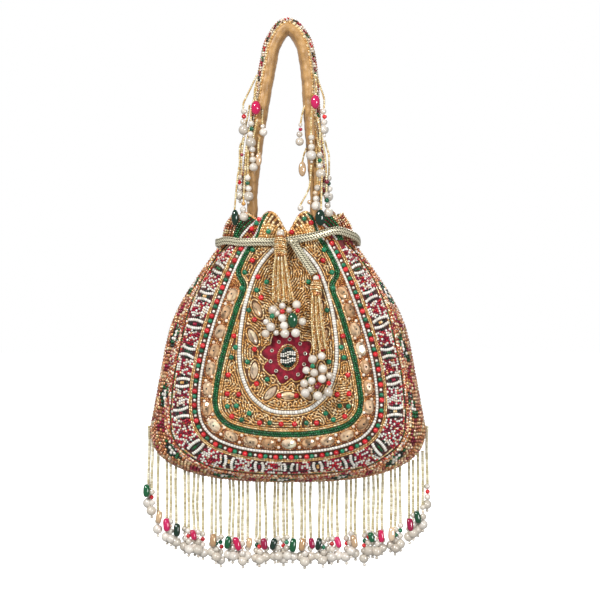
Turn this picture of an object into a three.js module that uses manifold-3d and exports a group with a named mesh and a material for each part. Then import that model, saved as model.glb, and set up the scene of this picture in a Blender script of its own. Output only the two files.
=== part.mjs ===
// A beaded potli bag: a gathered drawstring pouch with a beaded fringe, two bead tassels and a padded loop handle.
// Millimetres, +Z up, the bag's front faces -Y. The origin is the underside of the handle's arch, where a hand or
// a hook holds the bag, so that the whole bag hangs below it.
import * as THREE from "three";
import { mergeVertices } from "three/addons/utils/BufferGeometryUtils.js";
import Module from "manifold-3d";

const wasm = await Module();
wasm.setup();

// ---------- driving dimensions ----------
const GAP = 0.3; // between pieces that touch

const RIM_Z = -143; // top of the ruffle's lobes
const RIM_VALLEY = 6; // how far the rim dips between lobes
const RIM_CENTRE_DIP = 10; // extra dip at the middle of the front and the back
const CENTRE_DIP_ANGLE = THREE.MathUtils.degToRad(9);
const NECK_Z = -166; // height of the drawstring
const WIDEST_Z = -314;
const BOTTOM_Z = -357;
const WIDEST_HALF = 109.6;
const DEEPEST_Z = -290;
const DEEPEST_HALF = 45.5;
const CORNER_POWER = 2.6; // roundness of the two lower corners, seen from the front
const BELLY_POWER = 2.2; // roundness of the bottom, seen from the side
const PLEATS = 10; // round the whole mouth
const WALL = 3; // cloth and the bead embroidery on it
const LINING_WALL = 1;

// [height, half-width], [height, half-depth] and [height, pleat depth as a share of the radius], from the rim down
const HALF_WIDTH = [
  [-143, 44], [-152, 50], [-160, 52], [-166, 53], [-175, 59], [-190, 69.5], [-209, 82],
  [-228, 91.5], [-247, 97], [-276, 102.5], [-295, 106], [WIDEST_Z, WIDEST_HALF],
];
const HALF_DEPTH = [
  [-143, 27], [-155, 26], [-166, 25], [-175, 27], [-190, 31.5], [-209, 36.5],
  [-228, 40.5], [-247, 43.5], [-270, 45], [DEEPEST_Z, DEEPEST_HALF],
];
const PLEAT_DEPTH = [[-143, 0.2], [-160, 0.17], [-172, 0.13], [-195, 0.05], [-215, 0]];

const HANDLE_THICK = 5.75; // half, in the plane of the loop
const HANDLE_DEEP = 10; // half, front to back
const ROOT_THICK = 4.5; // half, where the handle goes into the mouth
const ROOT_DEEP = 6.5;
const TAPER = [-112, -136]; // heights between which the handle narrows
const BAND_Z_END = -128; // the bead band stops here, above the ruffle
// The handle's centreline from the left root, inside the mouth, over the arch to the right root: [x, z]
const HANDLE_LINE = [
  [-30, -164], [-28.5, -143], [-29, -120], [-26, -92], [-19.5, -50], [-15.2, -27], [-10.3, -6], [0, 5.75],
  [10.3, -5], [15.4, -28], [17.6, -60], [20.2, -92], [22.3, -120], [22, -143], [24, -164],
];

const CORD_WIDE = 6.4;
const CORD_THICK = 2.2;
const DRAWSTRING_HALF_WIDTH = 57.2;
const DRAWSTRING_HALF_DEPTH = 27.2;
const DRAWSTRING_LIFT = 9; // how far the cord rides up over the ruffle on its right

const STRING_R = 1.2; // a string of seed beads
const FRINGE_COUNT = 32;
const FRINGE_HALF_SPAN = 111.2;
const FRINGE_STRING = 39;
// What hangs at the end of a bead string: [distance below the string's end, radius]. A small pearl, coloured beads or
// a drop, then a large pearl and an end bead
const FRINGE_END = [[2, 2.2], [9, 2.7], [17, 2.2], [22, 3.2], [26, 3.4], [29, 1.3], [31, 0.8]];
const HANDLE_END = [[2, 2.1], [8.5, 1.5], [13, 3.2], [16, 3.4], [20, 1.3], [22, 0.8]];

// The bead strings on the handle: where each leaves the bead band, where it hangs, and where its string ends
const HANDLE_STRINGS = [
  { name: "handle_string_left_1", leave: [-25, -9, -34], hang: [-35.2, -11, -56], end: -60 },
  { name: "handle_string_left_2", leave: [-24.5, -12.6, -44], hang: [-29.2, -13.8, -62], end: -70 },
  { name: "handle_string_left_3", leave: [-34.4, -8, -80], hang: [-38.2, -10, -92], end: -112 },
  { name: "handle_string_left_4", leave: [-31.5, -12.6, -94], hang: [-31.6, -13.8, -100], end: -113 },
  { name: "handle_string_right_1", leave: [22.8, -9, -34], hang: [28.6, -11, -52], end: -60 },
  { name: "handle_string_right_2", leave: [19.4, -12.6, -58], hang: [18.4, -13.8, -68], end: -81 },
  { name: "handle_string_right_3", leave: [23.6, -12.6, -68], hang: [25.4, -13.8, -78], end: -95 },
  { name: "handle_string_right_4", leave: [29.6, -8, -86], hang: [32.6, -10, -98], end: -113 },
];

const FLOWER_Z = -258;
const FLOWER_R = 18;
const FLOWER_PETALS = 8;
const FLOWER_PETAL_DEPTH = 1.8;
const FLOWER_THICK = 1.2;
const BUTTON_HALF_WIDTH = 7;
const BUTTON_HALF_HEIGHT = 9;
const BUTTON_THICK = 1.8;

// A tassel hangs from its top bead, at the pivot, and leans out on the bag's belly. Sizes run down from the pivot.
const CENTRE_TASSEL = {
  name: "centre_tassel", pivot: [-5.6, -31, -160], lean: 15, bead: 3.1,
  head: { from: 3.6, to: 18, r: 5 }, skirt: { to: 52, x: 1.8, halfX: 8, halfY: 3 },
  pearls: { to: 84, x: 3, halfX: 13.5, halfY: 6 },
};
const SIDE_TASSEL = {
  name: "side_tassel", pivot: [22, -37, -195], lean: 11, bead: 2.4,
  head: { from: 2.9, to: 13, r: 4.4 }, skirt: { to: 56, x: 3.2, halfX: 6.4, halfY: 3 },
  pearls: { to: 96, x: 3, halfX: 12.5, halfY: 6 },
};

// ---------- materials ----------
const surface = (color, roughness, metalness = 0) => new THREE.MeshStandardMaterial({ color, roughness, metalness });
const EMBROIDERY = surface(0xb9844a, 0.45);
const LINING = surface(0x8c6a3c, 0.7);
const SATIN = surface(0xc89a5e, 0.55);
const BRAID = surface(0xc9bb93, 0.4, 0.4);
const GOLD_BEADS = surface(0xd8b46a, 0.3, 0.7);
const PALE_BEADS = surface(0xd6c7a4, 0.3, 0.2);
const PEARL = surface(0xf1ece2, 0.2);
const VELVET = surface(0x8a1230, 0.85);
const BUTTON = surface(0x1f3d2c, 0.35);

const bag = new THREE.Group();

function addMesh(name, geometry, material, parent = bag) {
  const mesh = new THREE.Mesh(geometry, material);
  mesh.name = name;
  parent.add(mesh);
  return mesh;
}

// ---------- solids ----------
// Value at a height on the smooth curve through a table's pairs, which run from high to low.
function valueAt(table, z) {
  if (z >= table[0][0]) return table[0][1];
  const last = table.length - 1;
  if (z <= table[last][0]) return table[last][1];
  const i = table.findIndex(([height]) => height < z) - 1;
  const slope = (j) => {
    const [a, b] = [table[Math.max(j - 1, 0)], table[Math.min(j + 1, last)]];
    return (b[1] - a[1]) / (b[0] - a[0]);
  };
  const [[z0, v0], [z1, v1]] = [table[i], table[i + 1]];
  const span = z1 - z0;
  const t = (z - z0) / span;
  const ease = t * t * (3 - 2 * t);
  return v0 * (1 - ease) + v1 * ease
    + span * (slope(i) * t * (1 - t) ** 2 - slope(i + 1) * t * t * (1 - t));
}

// One closed solid through rings of equal length. Open solids get a fan at each end, to a tip where one is given.
function loft(rings, { closed = false, tips = [] } = {}) {
  const n = rings[0].length;
  const points = rings.flat();
  const index = [];
  const bands = closed ? rings.length : rings.length - 1;
  for (let j = 0; j < bands; j++) {
    const [a, b] = [j * n, ((j + 1) % rings.length) * n];
    for (let i = 0; i < n; i++) {
      const k = (i + 1) % n;
      index.push(a + i, a + k, b + k, a + i, b + k, b + i);
    }
  }
  if (!closed) {
    const centre = (ring) => ring.reduce((sum, p) => sum.add(p), new THREE.Vector3()).divideScalar(n);
    const last = (rings.length - 1) * n;
    points.push(tips[0] ?? centre(rings[0]), tips[1] ?? centre(rings.at(-1)));
    for (let i = 0; i < n; i++) {
      const k = (i + 1) % n;
      index.push(points.length - 2, k, i, points.length - 1, last + i, last + k);
    }
  }
  return facingOut(new THREE.BufferGeometry().setFromPoints(points).setIndex(index));
}

// Turns a closed geometry's faces round if they point inwards.
function facingOut(geometry) {
  const p = geometry.getAttribute("position");
  const index = geometry.getIndex().array;
  const [a, b, c] = [new THREE.Vector3(), new THREE.Vector3(), new THREE.Vector3()];
  let volume = 0;
  for (let i = 0; i < index.length; i += 3) {
    volume += a.fromBufferAttribute(p, index[i]).dot(
      b.fromBufferAttribute(p, index[i + 1]).cross(c.fromBufferAttribute(p, index[i + 2])));
  }
  if (volume < 0) geometry.setIndex([...index].reverse());
  return geometry;
}

function toManifold(geometry) {
  const bare = geometry.clone();
  bare.deleteAttribute("normal");
  bare.deleteAttribute("uv");
  const merged = mergeVertices(bare);
  return new wasm.Manifold(new wasm.Mesh({
    numProp: 3,
    vertProperties: merged.getAttribute("position").array,
    triVerts: new Uint32Array(merged.getIndex().array),
  }));
}

function toGeometry(solid) {
  const mesh = solid.getMesh();
  return new THREE.BufferGeometry()
    .setAttribute("position", new THREE.BufferAttribute(mesh.vertProperties, 3))
    .setIndex(new THREE.BufferAttribute(mesh.triVerts, 1));
}

// A round solid of changing radius down a line of points, each ring level: [x, y, z, radius].
function strung(stations, sides = 6) {
  return loft(stations.map(([x, y, z, r]) => Array.from({ length: sides }, (_, i) => {
    const turn = (2 * Math.PI * i) / sides;
    return new THREE.Vector3(x + r * Math.cos(turn), y + r * Math.sin(turn), z);
  })));
}

// ---------- pouch ----------
const outlineShare = (drop, height, power) => (1 - Math.min(drop / height, 1) ** power) ** (1 / power);

function halfWidth(z, inset) {
  if (z > WIDEST_Z) return valueAt(HALF_WIDTH, z) - inset;
  return (WIDEST_HALF - inset) * outlineShare(WIDEST_Z - z, WIDEST_Z - BOTTOM_Z - inset, CORNER_POWER);
}

function halfDepth(z, inset) {
  if (z > DEEPEST_Z) return valueAt(HALF_DEPTH, z) - inset;
  return (DEEPEST_HALF - inset) * outlineShare(DEEPEST_Z - z, DEEPEST_Z - BOTTOM_Z - inset, BELLY_POWER);
}

// A point of the pouch's surface: turn 0 is the middle of the front, and inset is the depth below the outer face.
function pouchPoint(z, turn, inset) {
  const pleat = 1 - valueAt(PLEAT_DEPTH, z) * (0.5 + 0.5 * Math.cos(PLEATS * turn));
  return new THREE.Vector3(
    halfWidth(z, inset) * pleat * Math.sin(turn),
    -halfDepth(z, inset) * pleat * Math.cos(turn),
    z,
  );
}

// Height of the ruffle's edge: a lobe over each pleat, and a deeper dip at the middle of the front and the back.
function rimZ(turn) {
  const valley = 0.5 + 0.5 * Math.cos(PLEATS * turn);
  const offCentre = Math.min(Math.abs(turn), Math.abs(Math.abs(turn) - Math.PI));
  return RIM_Z - RIM_VALLEY * valley - RIM_CENTRE_DIP * Math.exp(-((offCentre / CENTRE_DIP_ANGLE) ** 2));
}

const RUFFLE_SHARES = [1, 0.55, 0.2]; // levels between the drawstring and the rim
const BODY_LEVELS = [NECK_Z, -175, -188, -205, -226, -254, -284, WIDEST_Z];
const CORNER_SHARES = [0.4, 0.68, 0.87, 0.97]; // levels between the widest place and the bottom
const AROUND = 40;

// The solid inside the pouch's outer face, inset by a distance, and raised above the rim to cut through it.
function pouchSolid(inset, raise = 0) {
  const turns = Array.from({ length: AROUND }, (_, i) => (2 * Math.PI * i) / AROUND - Math.PI);
  const bottom = BOTTOM_Z + inset;
  const rings = RUFFLE_SHARES.map((share) => turns.map((turn) =>
    pouchPoint(NECK_Z + share * (rimZ(turn) - NECK_Z), turn, inset)));
  BODY_LEVELS.forEach((z) => rings.push(turns.map((turn) => pouchPoint(z, turn, inset))));
  CORNER_SHARES.forEach((share) => {
    const z = WIDEST_Z + share * (bottom - WIDEST_Z);
    rings.push(turns.map((turn) => pouchPoint(z, turn, inset)));
  });
  if (raise) rings.unshift(rings[0].map((p) => new THREE.Vector3(p.x, p.y, p.z + raise)));
  const top = new THREE.Vector3(0, 0, rings[0][0].z);
  return loft(rings, { tips: [top, new THREE.Vector3(0, 0, bottom)] });
}

const CUTTER_RAISE = 12;
const HALF_SPACE = 400;
const pouchWall = toManifold(pouchSolid(0)).subtract(toManifold(pouchSolid(WALL, CUTTER_RAISE)));
for (const [name, side] of [["front_panel", -1], ["back_panel", 1]]) {
  const half = new THREE.BoxGeometry(HALF_SPACE, HALF_SPACE, 2 * HALF_SPACE)
    .translate(0, side * (HALF_SPACE / 2 + GAP / 2), 0);
  addMesh(name, toGeometry(pouchWall.intersect(toManifold(half))), EMBROIDERY);
}

const liningOuter = WALL + GAP;
addMesh("lining", toGeometry(
  toManifold(pouchSolid(liningOuter)).subtract(toManifold(pouchSolid(liningOuter + LINING_WALL, CUTTER_RAISE)))), LINING);

// ---------- flower patches ----------
// A thin solid that lies on the pouch's outer face, its outline given as a radius at each angle.
function patchOnPouch(side, centreZ, radiusAt, from, thick, rings = 3, spokes = 24) {
  const face = (x, z, lift) => {
    const turn = Math.asin(x / halfWidth(z, 0));
    return new THREE.Vector3(x, side * (halfDepth(z, 0) * Math.cos(turn) + lift), z);
  };
  const layer = (share, lift) => Array.from({ length: spokes }, (_, i) => {
    const angle = (2 * Math.PI * i) / spokes;
    const [rx, rz] = radiusAt(angle);
    return face(share * rx * Math.cos(angle), centreZ + share * rz * Math.sin(angle), lift);
  });
  const shares = Array.from({ length: rings }, (_, i) => (i + 1) / rings);
  const outside = shares.map((share) => layer(share, from + thick));
  const inside = shares.map((share) => layer(share, from)).reverse();
  return loft([...outside, ...inside], { tips: [face(0, centreZ, from + thick), face(0, centreZ, from)] });
}

const petalRadius = (angle) => {
  const r = FLOWER_R - FLOWER_PETAL_DEPTH * (0.5 + 0.5 * Math.cos(FLOWER_PETALS * angle));
  return [r, r];
};
for (const [name, side] of [["front", -1], ["back", 1]]) {
  addMesh(`flower_patch_${name}`, patchOnPouch(side, FLOWER_Z, petalRadius, GAP, FLOWER_THICK), VELVET);
  addMesh(`flower_button_${name}`, patchOnPouch(
    side, FLOWER_Z, () => [BUTTON_HALF_WIDTH, BUTTON_HALF_HEIGHT], 2 * GAP + FLOWER_THICK, BUTTON_THICK, 2, 16), BUTTON);
}

// ---------- handle ----------
const handleCurve = new THREE.CatmullRomCurve3(HANDLE_LINE.map(([x, z]) => new THREE.Vector3(x, 0, z)));

// Sweeps a section of [outwards, to the back] pairs along a stretch of the handle's centreline.
function alongHandle(sectionAt, stations, from = 0, to = 1) {
  return loft(Array.from({ length: stations + 1 }, (_, i) => {
    const u = from + ((to - from) * i) / stations;
    const centre = handleCurve.getPointAt(u);
    const tangent = handleCurve.getTangentAt(u);
    const outward = new THREE.Vector3(-tangent.z, 0, tangent.x);
    return sectionAt(centre.z).map(([out, back]) => centre.clone().addScaledVector(outward, out).setY(back));
  }));
}

const STRAP_SIDES = 12;
function strapSection(z) {
  const taper = THREE.MathUtils.smoothstep(-z, -TAPER[0], -TAPER[1]);
  const thick = THREE.MathUtils.lerp(HANDLE_THICK, ROOT_THICK, taper);
  const deep = THREE.MathUtils.lerp(HANDLE_DEEP, ROOT_DEEP, taper);
  return Array.from({ length: STRAP_SIDES }, (_, i) => {
    const turn = (2 * Math.PI * i) / STRAP_SIDES;
    return [thick * Math.cos(turn), deep * Math.sin(turn)];
  });
}
addMesh("handle_strap", alongHandle(strapSection, 38), SATIN);

const BAND_SECTION = [[5, -6.5], [6.2, 0], [5, 6.5], [7, 6.5], [8.2, 0], [7, -6.5]];
const shareAtHeight = (x, z) => {
  const count = 400;
  const near = (i) => handleCurve.getPointAt(i / count).distanceTo(new THREE.Vector3(x, 0, z));
  return Array.from({ length: count + 1 }, (_, i) => i).reduce((best, i) => (near(i) < near(best) ? i : best)) / count;
};
addMesh("handle_bead_band", alongHandle(
  () => BAND_SECTION, 34, shareAtHeight(-29, BAND_Z_END), shareAtHeight(22.5, BAND_Z_END)), PALE_BEADS);

for (const { name, leave, hang, end } of HANDLE_STRINGS) {
  const mid = leave.map((v, i) => (v + hang[i]) / 2);
  addMesh(name, strung([
    [...leave, STRING_R],
    [...mid, STRING_R],
    [...hang, STRING_R],
    [hang[0], hang[1], end, STRING_R],
    ...HANDLE_END.map(([drop, r]) => [hang[0], hang[1], end - drop, r]),
  ]), PEARL);
}

// ---------- drawstring ----------
// A flat cord's section of [outwards, upwards] pairs, with rounded edges.
const cordSection = [[-0.5, -0.35], [-0.5, 0.35], [-0.2, 0.5], [0.2, 0.5], [0.5, 0.35], [0.5, -0.35], [0.2, -0.5], [-0.2, -0.5]]
  .map(([out, up]) => [out * CORD_THICK, up * CORD_WIDE]);

const LOOP_STATIONS = 40;
const drawstringLoop = Array.from({ length: LOOP_STATIONS }, (_, i) => {
  const turn = (2 * Math.PI * i) / LOOP_STATIONS - Math.PI;
  const normal = new THREE.Vector3(
    Math.sin(turn) / DRAWSTRING_HALF_WIDTH, -Math.cos(turn) / DRAWSTRING_HALF_DEPTH, 0).normalize();
  const lift = turn > 0 && turn < Math.PI / 2 ? DRAWSTRING_LIFT * Math.sin(2 * turn) ** 2 : 0;
  const centre = new THREE.Vector3(
    DRAWSTRING_HALF_WIDTH * Math.sin(turn), -DRAWSTRING_HALF_DEPTH * Math.cos(turn), NECK_Z + lift);
  return cordSection.map(([out, up]) => centre.clone().addScaledVector(normal, out).add(new THREE.Vector3(0, 0, up)));
});
addMesh("drawstring_loop", loft(drawstringLoop, { closed: true }), BRAID);

const KNOT_AT = [5.2, -31.4, -167];
addMesh("drawstring_knot", new THREE.SphereGeometry(1, 10, 8).scale(4, 2.7, 4.6).translate(...KNOT_AT), BRAID);

// The cord's tail lies down the belly from the knot to the side tassel.
const TAIL_LINE = [[8, -31.8, -173], [12, -33.4, -179], [16, -35, -185], [19, -36.3, -190]];
const TAIL_ACROSS = new THREE.Vector3(0.82, 0.1, 0.56).normalize();
const TAIL_OUTWARD = new THREE.Vector3(0, -0.96, 0.27).normalize();
addMesh("drawstring_tail", loft(TAIL_LINE.map((p) => cordSection.map(([out, up]) =>
  new THREE.Vector3(...p).addScaledVector(TAIL_OUTWARD, out).addScaledVector(TAIL_ACROSS, up)))), BRAID);

// ---------- tassels ----------
// An oval solid down a tassel, its rings given as [distance below the pivot, x, half-width, half-depth].
function ovalSolid(stations, sides = 12) {
  return loft(stations.map(([down, x, halfX, halfY]) => Array.from({ length: sides }, (_, i) => {
    const turn = (2 * Math.PI * i) / sides;
    return new THREE.Vector3(x + halfX * Math.cos(turn), halfY * Math.sin(turn), -down);
  })));
}

for (const { name, pivot, lean, bead, head, skirt, pearls } of [CENTRE_TASSEL, SIDE_TASSEL]) {
  const tassel = new THREE.Group();
  tassel.position.set(...pivot);
  tassel.rotation.x = -THREE.MathUtils.degToRad(lean);
  bag.add(tassel);
  addMesh(`${name}_top_bead`, new THREE.SphereGeometry(bead, 10, 8), PEARL, tassel);
  const neckR = head.r * 0.6;
  addMesh(`${name}_head`, ovalSolid([
    [head.from, 0, neckR, neckR], [head.from + 2, 0, head.r, head.r * 0.85], [head.to, 0, head.r, head.r * 0.85],
  ]), GOLD_BEADS, tassel);
  addMesh(`${name}_skirt`, ovalSolid([
    [head.to + GAP, 0, head.r * 0.9, head.r * 0.7],
    [(head.to + skirt.to) / 2, skirt.x / 2, skirt.halfX * 0.85, skirt.halfY],
    [skirt.to, skirt.x, skirt.halfX, skirt.halfY],
  ]), GOLD_BEADS, tassel);
  const long = pearls.to - skirt.to - GAP;
  addMesh(`${name}_pearls`, ovalSolid([[0, 0.55, 0.5], [0.2, 0.9, 0.85], [0.5, 1, 1], [0.8, 0.85, 0.9], [1, 0.4, 0.5]].map(
    ([share, wide, deep]) => [skirt.to + GAP + share * long, pearls.x, pearls.halfX * wide, pearls.halfY * deep])),
  PEARL, tassel);
}

// ---------- fringe ----------
// Height of the pouch's bottom edge at a distance from the middle.
const hemZ = (x) => WIDEST_Z - (WIDEST_Z - BOTTOM_Z) * outlineShare(Math.abs(x), WIDEST_HALF, CORNER_POWER);

for (let i = 0; i < FRINGE_COUNT; i++) {
  const x = -FRINGE_HALF_SPAN + (2 * FRINGE_HALF_SPAN * i) / (FRINGE_COUNT - 1);
  const top = hemZ(Math.max(Math.abs(x) - STRING_R - GAP, 0)) - GAP;
  const end = top - FRINGE_STRING;
  addMesh(`fringe_string_${String(i + 1).padStart(2, "0")}`, strung([
    [x, 0, top, STRING_R],
    [x, 0, end, STRING_R],
    ...FRINGE_END.map(([drop, r]) => [x, 0, end - drop, r]),
  ]), PALE_BEADS);
}

export default bag;
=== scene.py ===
"""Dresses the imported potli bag: a gathered, bead-embroidered pouch with a fringe, two tassels and a loop handle.

Sizes are in millimetres unless a name says otherwise, +Z is up and the embroidered front faces -Y. The origin is the
underside of the handle's arch, and a mesh is scaled to metres when it is made.
"""

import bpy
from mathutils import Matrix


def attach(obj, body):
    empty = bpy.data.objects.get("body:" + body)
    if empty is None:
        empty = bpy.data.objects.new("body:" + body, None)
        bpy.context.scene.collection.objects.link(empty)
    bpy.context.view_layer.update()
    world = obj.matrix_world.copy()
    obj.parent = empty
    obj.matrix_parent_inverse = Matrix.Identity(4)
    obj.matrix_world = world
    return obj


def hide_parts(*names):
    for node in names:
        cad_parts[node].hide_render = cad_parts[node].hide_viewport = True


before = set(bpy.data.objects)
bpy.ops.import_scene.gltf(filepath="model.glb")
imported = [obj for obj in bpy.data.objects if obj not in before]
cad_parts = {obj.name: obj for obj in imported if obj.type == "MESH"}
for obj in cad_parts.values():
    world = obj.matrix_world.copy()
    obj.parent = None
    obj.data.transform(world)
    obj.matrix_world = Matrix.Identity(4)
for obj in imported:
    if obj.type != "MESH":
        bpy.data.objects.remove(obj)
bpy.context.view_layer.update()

import logging
import math
from collections.abc import Callable, Sequence
from dataclasses import dataclass, field, replace
from enum import Enum
from functools import partial

import bpy
import numpy as np
from mathutils import Vector
from mathutils.bvhtree import BVHTree

LOG = logging.getLogger("potli")
MM = 0.001
Array = np.ndarray
Piece = bpy.types.Object
Tree = bpy.types.NodeTree
Node = bpy.types.Node
Colour = tuple[float, float, float, float]
UP = np.array([0.0, 0.0, 1.0])
FORWARD = np.array([0.0, -1.0, 0.0])
# Turns a place on the front half round the bag's upright axis, on to the back
TO_BACK = np.array([-1.0, -1.0, 1.0])
# Where the embroidery's drawing is seen from: its x and z are those of the y = 0 plane, seen from here
SIGHT = np.array([9.6, -1250.0, -212.0])
# The height on the front that a line's outer side is measured from
MIDDLE_Z = -245.0
# Seed beads on a thread: how far apart they sit, and how long each is
SEED_PITCH = 1.8
SEED_LENGTH = 1.66


# ---------- colours ----------
def linear(hex_colour: str, alpha: float = 1.0) -> Colour:
    """Turns an sRGB hex colour into linear values.

    Args:
        hex_colour: six hex digits after a hash.
        alpha: the fourth value.

    Returns:
        Linear red, green and blue, and the alpha.
    """
    parts = [int(hex_colour[i : i + 2], 16) / 255 for i in (1, 3, 5)]
    red, green, blue = ((c / 12.92 if c <= 0.04045 else ((c + 0.055) / 1.055) ** 2.4) for c in parts)
    return (red, green, blue, alpha)


class Tint(Enum):
    """Bead, thread and cloth colours, each a few sRGB values that single beads are picked from."""

    GOLD = ("#EEC68C", "#E4B26E", "#D89E56", "#F6DCAC")
    DEEP_GOLD = ("#BC7A3C", "#A9652C", "#CF9350", "#965424")
    STRAND = ("#EAD6A2", "#DCC088", "#F3E6C0", "#CDAA6A")
    COPPER = ("#D8935E", "#E6AE80", "#BE7444", "#F0CBA0", "#A65E38")
    ROSE = ("#D09A80", "#B8705A", "#E0B8A0", "#A0503E")
    WHITE = ("#EDE8DF", "#F3F0E8", "#E2DCCF")
    GREEN = ("#0D5429", "#0A4321", "#136534")
    BALL_GREEN = ("#0F6E4A", "#0A5A3C", "#147C56")
    BALL_RED = ("#D2222A", "#BE1822", "#DC3034")
    MAROON = ("#8E1230", "#A0163A", "#74102A")
    CHERRY = ("#B71A2E", "#C9252F")
    BLACK = ("#10221B", "#0A0F0D", "#143526")
    PALE = ("#EBD9C4", "#E6CDB6", "#F1E6D6")
    SEED = ("#E6DCBA", "#DACFA8", "#EEE6CA", "#C8BA90")
    SILVER = ("#D9D2C0", "#C8C0AA", "#EEE8DA")
    PEARL = ("#D4CBBD", "#CBC0B1", "#DED6CB")
    MAGENTA = ("#C0124E", "#A00E44", "#CE1C5E")
    EMERALD = ("#0E4A2C", "#0A5632", "#082A1C")
    CHAMPAGNE = ("#D6B48E", "#E4CAAC", "#BE9870")
    AGATE = ("#D6B490", "#C49C74", "#E4CAAC", "#B88E66")

    def pick(self, rng: np.random.Generator) -> Colour:
        """Picks one bead's linear colour, a little lighter or darker than its neighbours.

        Args:
            rng: what the tint and its shade are drawn with.

        Returns:
            The bead's linear colour.
        """
        red, green, blue, alpha = linear(self.value[int(rng.integers(len(self.value)))])
        shade = float(rng.uniform(0.86, 1.1))
        return (min(red * shade, 1.0), min(green * shade, 1.0), min(blue * shade, 1.0), alpha)


# ---------- nodes ----------
def add_node(tree: Tree, kind: str, inputs: dict | None = None, **settings: object) -> Node:
    """Adds a node, sets it, and fills its inputs.

    Args:
        tree: the tree it goes in.
        kind: the node's type name.
        inputs: a value, or another node's output socket, for each input by name or number.
        settings: the node's own properties.

    Returns:
        The node.
    """
    made = tree.nodes.new(kind)
    for name, value in settings.items():
        setattr(made, name, value)
    for key, value in (inputs or {}).items():
        if isinstance(value, bpy.types.NodeSocket):
            tree.links.new(value, made.inputs[key])
        else:
            made.inputs[key].default_value = value
    return made


@dataclass(frozen=True)
class Finish:
    """What every finish has: a name, its gloss, and where its colour comes from."""

    name: str
    roughness: float = 0.4
    metallic: float = 0.0
    ior: float = 1.5
    coat: float = 0.0
    sheen: float = 0.0
    glow: float = 0.0
    colour: str = "#FFFFFF"

    def material(self) -> bpy.types.Material:
        """Makes the material once, and gives the same one again after that.

        Returns:
            The material.
        """
        known = bpy.data.materials.get(self.name)
        if known is not None:
            return known
        made = bpy.data.materials.new(self.name)
        made.use_nodes = True
        tree = made.node_tree
        shader = tree.nodes["Principled BSDF"]
        shader.inputs["Base Color"].default_value = linear(self.colour)
        constants = {
            "Roughness": self.roughness, "Metallic": self.metallic, "IOR": self.ior, "Coat Weight": self.coat,
            "Coat Roughness": 0.08, "Sheen Weight": self.sheen, "Emission Strength": self.glow,
        }
        for name, value in constants.items():
            shader.inputs[name].default_value = value
        self.dress(tree, shader)
        return made

    def dress(self, tree: Tree, shader: Node) -> None:
        """Adds this finish's own pattern to the plain shader."""


@dataclass(frozen=True)
class BeadFinish(Finish):
    """Glass or resin in each bead's own tint, with a little cloudiness inside it."""

    # The clouds in the glass are about 1.5 mm across
    clouds_per_metre: float = 650.0

    def dress(self, tree: Tree, shader: Node) -> None:
        """Reads the bead's tint, and clouds it.

        Args:
            tree: the material's tree.
            shader: its Principled shader.
        """
        add = partial(add_node, tree)
        tint = add("ShaderNodeAttribute", attribute_name="tint")
        place = add("ShaderNodeTexCoord").outputs["Object"]
        cloud = add("ShaderNodeTexNoise", {"Vector": place, "Scale": self.clouds_per_metre, "Detail": 1.0})
        shade = add("ShaderNodeMapRange", {"Value": cloud.outputs["Fac"], "To Min": 0.86, "To Max": 1.12})
        inputs = {0: tint.outputs["Color"], "Scale": shade.outputs["Result"]}
        mixed = add("ShaderNodeVectorMath", inputs, operation="SCALE")
        tree.links.new(mixed.outputs[0], shader.inputs["Base Color"])


@dataclass(frozen=True)
class ClothFinish(Finish):
    """Woven cloth: threads that cross at a real pitch, with slow unevenness over them."""

    pitch: float = 0.5
    bump: float = 0.3
    # The darker colour: painted shade between the crossing threads, and the darker tone of the slow unevenness
    shade: str = "#000000"
    mottle: float = 60.0
    thread: float = 0.5
    from_attribute: bool = False

    def dress(self, tree: Tree, shader: Node) -> None:
        """Adds the crossing threads as bump and as painted shade between them, and larger soft unevenness of colour.

        Args:
            tree: the material's tree.
            shader: its Principled shader.
        """
        add = partial(add_node, tree)
        place = add("ShaderNodeTexCoord").outputs["Object"]
        # A wave texture of scale 1 turns by 20 radians in each metre
        scale = math.tau / (self.pitch * MM) / 20
        waves = {"Vector": place, "Scale": scale, "Distortion": 0.6, "Detail": 1.0}
        warp, weft = (add("ShaderNodeTexWave", waves, bands_direction=way).outputs["Fac"] for way in ("X", "Z"))
        weave = add("ShaderNodeMath", {0: warp, 1: weft}, operation="MULTIPLY").outputs[0]
        slow = add("ShaderNodeTexNoise", {"Vector": place, "Scale": self.mottle, "Detail": 3.0}).outputs["Fac"]
        patch = add("ShaderNodeMapRange", {"Value": slow, "From Min": 0.35, "From Max": 0.65, "To Min": 0.3})
        # Where the weave dips, the colour goes towards the darker one: painted shade between the threads
        inputs = {0: weave, 1: self.thread, 2: patch.outputs["Result"]}
        amount = add("ShaderNodeMath", inputs, operation="MULTIPLY_ADD", use_clamp=True)
        base: object = linear(self.colour)
        if self.from_attribute:
            base = add("ShaderNodeAttribute", attribute_name="tint").outputs["Color"]
        inputs = {0: amount.outputs[0], 6: linear(self.shade), 7: base}
        mixed = add("ShaderNodeMix", inputs, data_type="RGBA")
        tree.links.new(mixed.outputs[2], shader.inputs["Base Color"])
        ridge = add("ShaderNodeBump", {"Height": weave, "Strength": self.bump, "Distance": 0.2 * MM})
        tree.links.new(ridge.outputs["Normal"], shader.inputs["Normal"])


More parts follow.
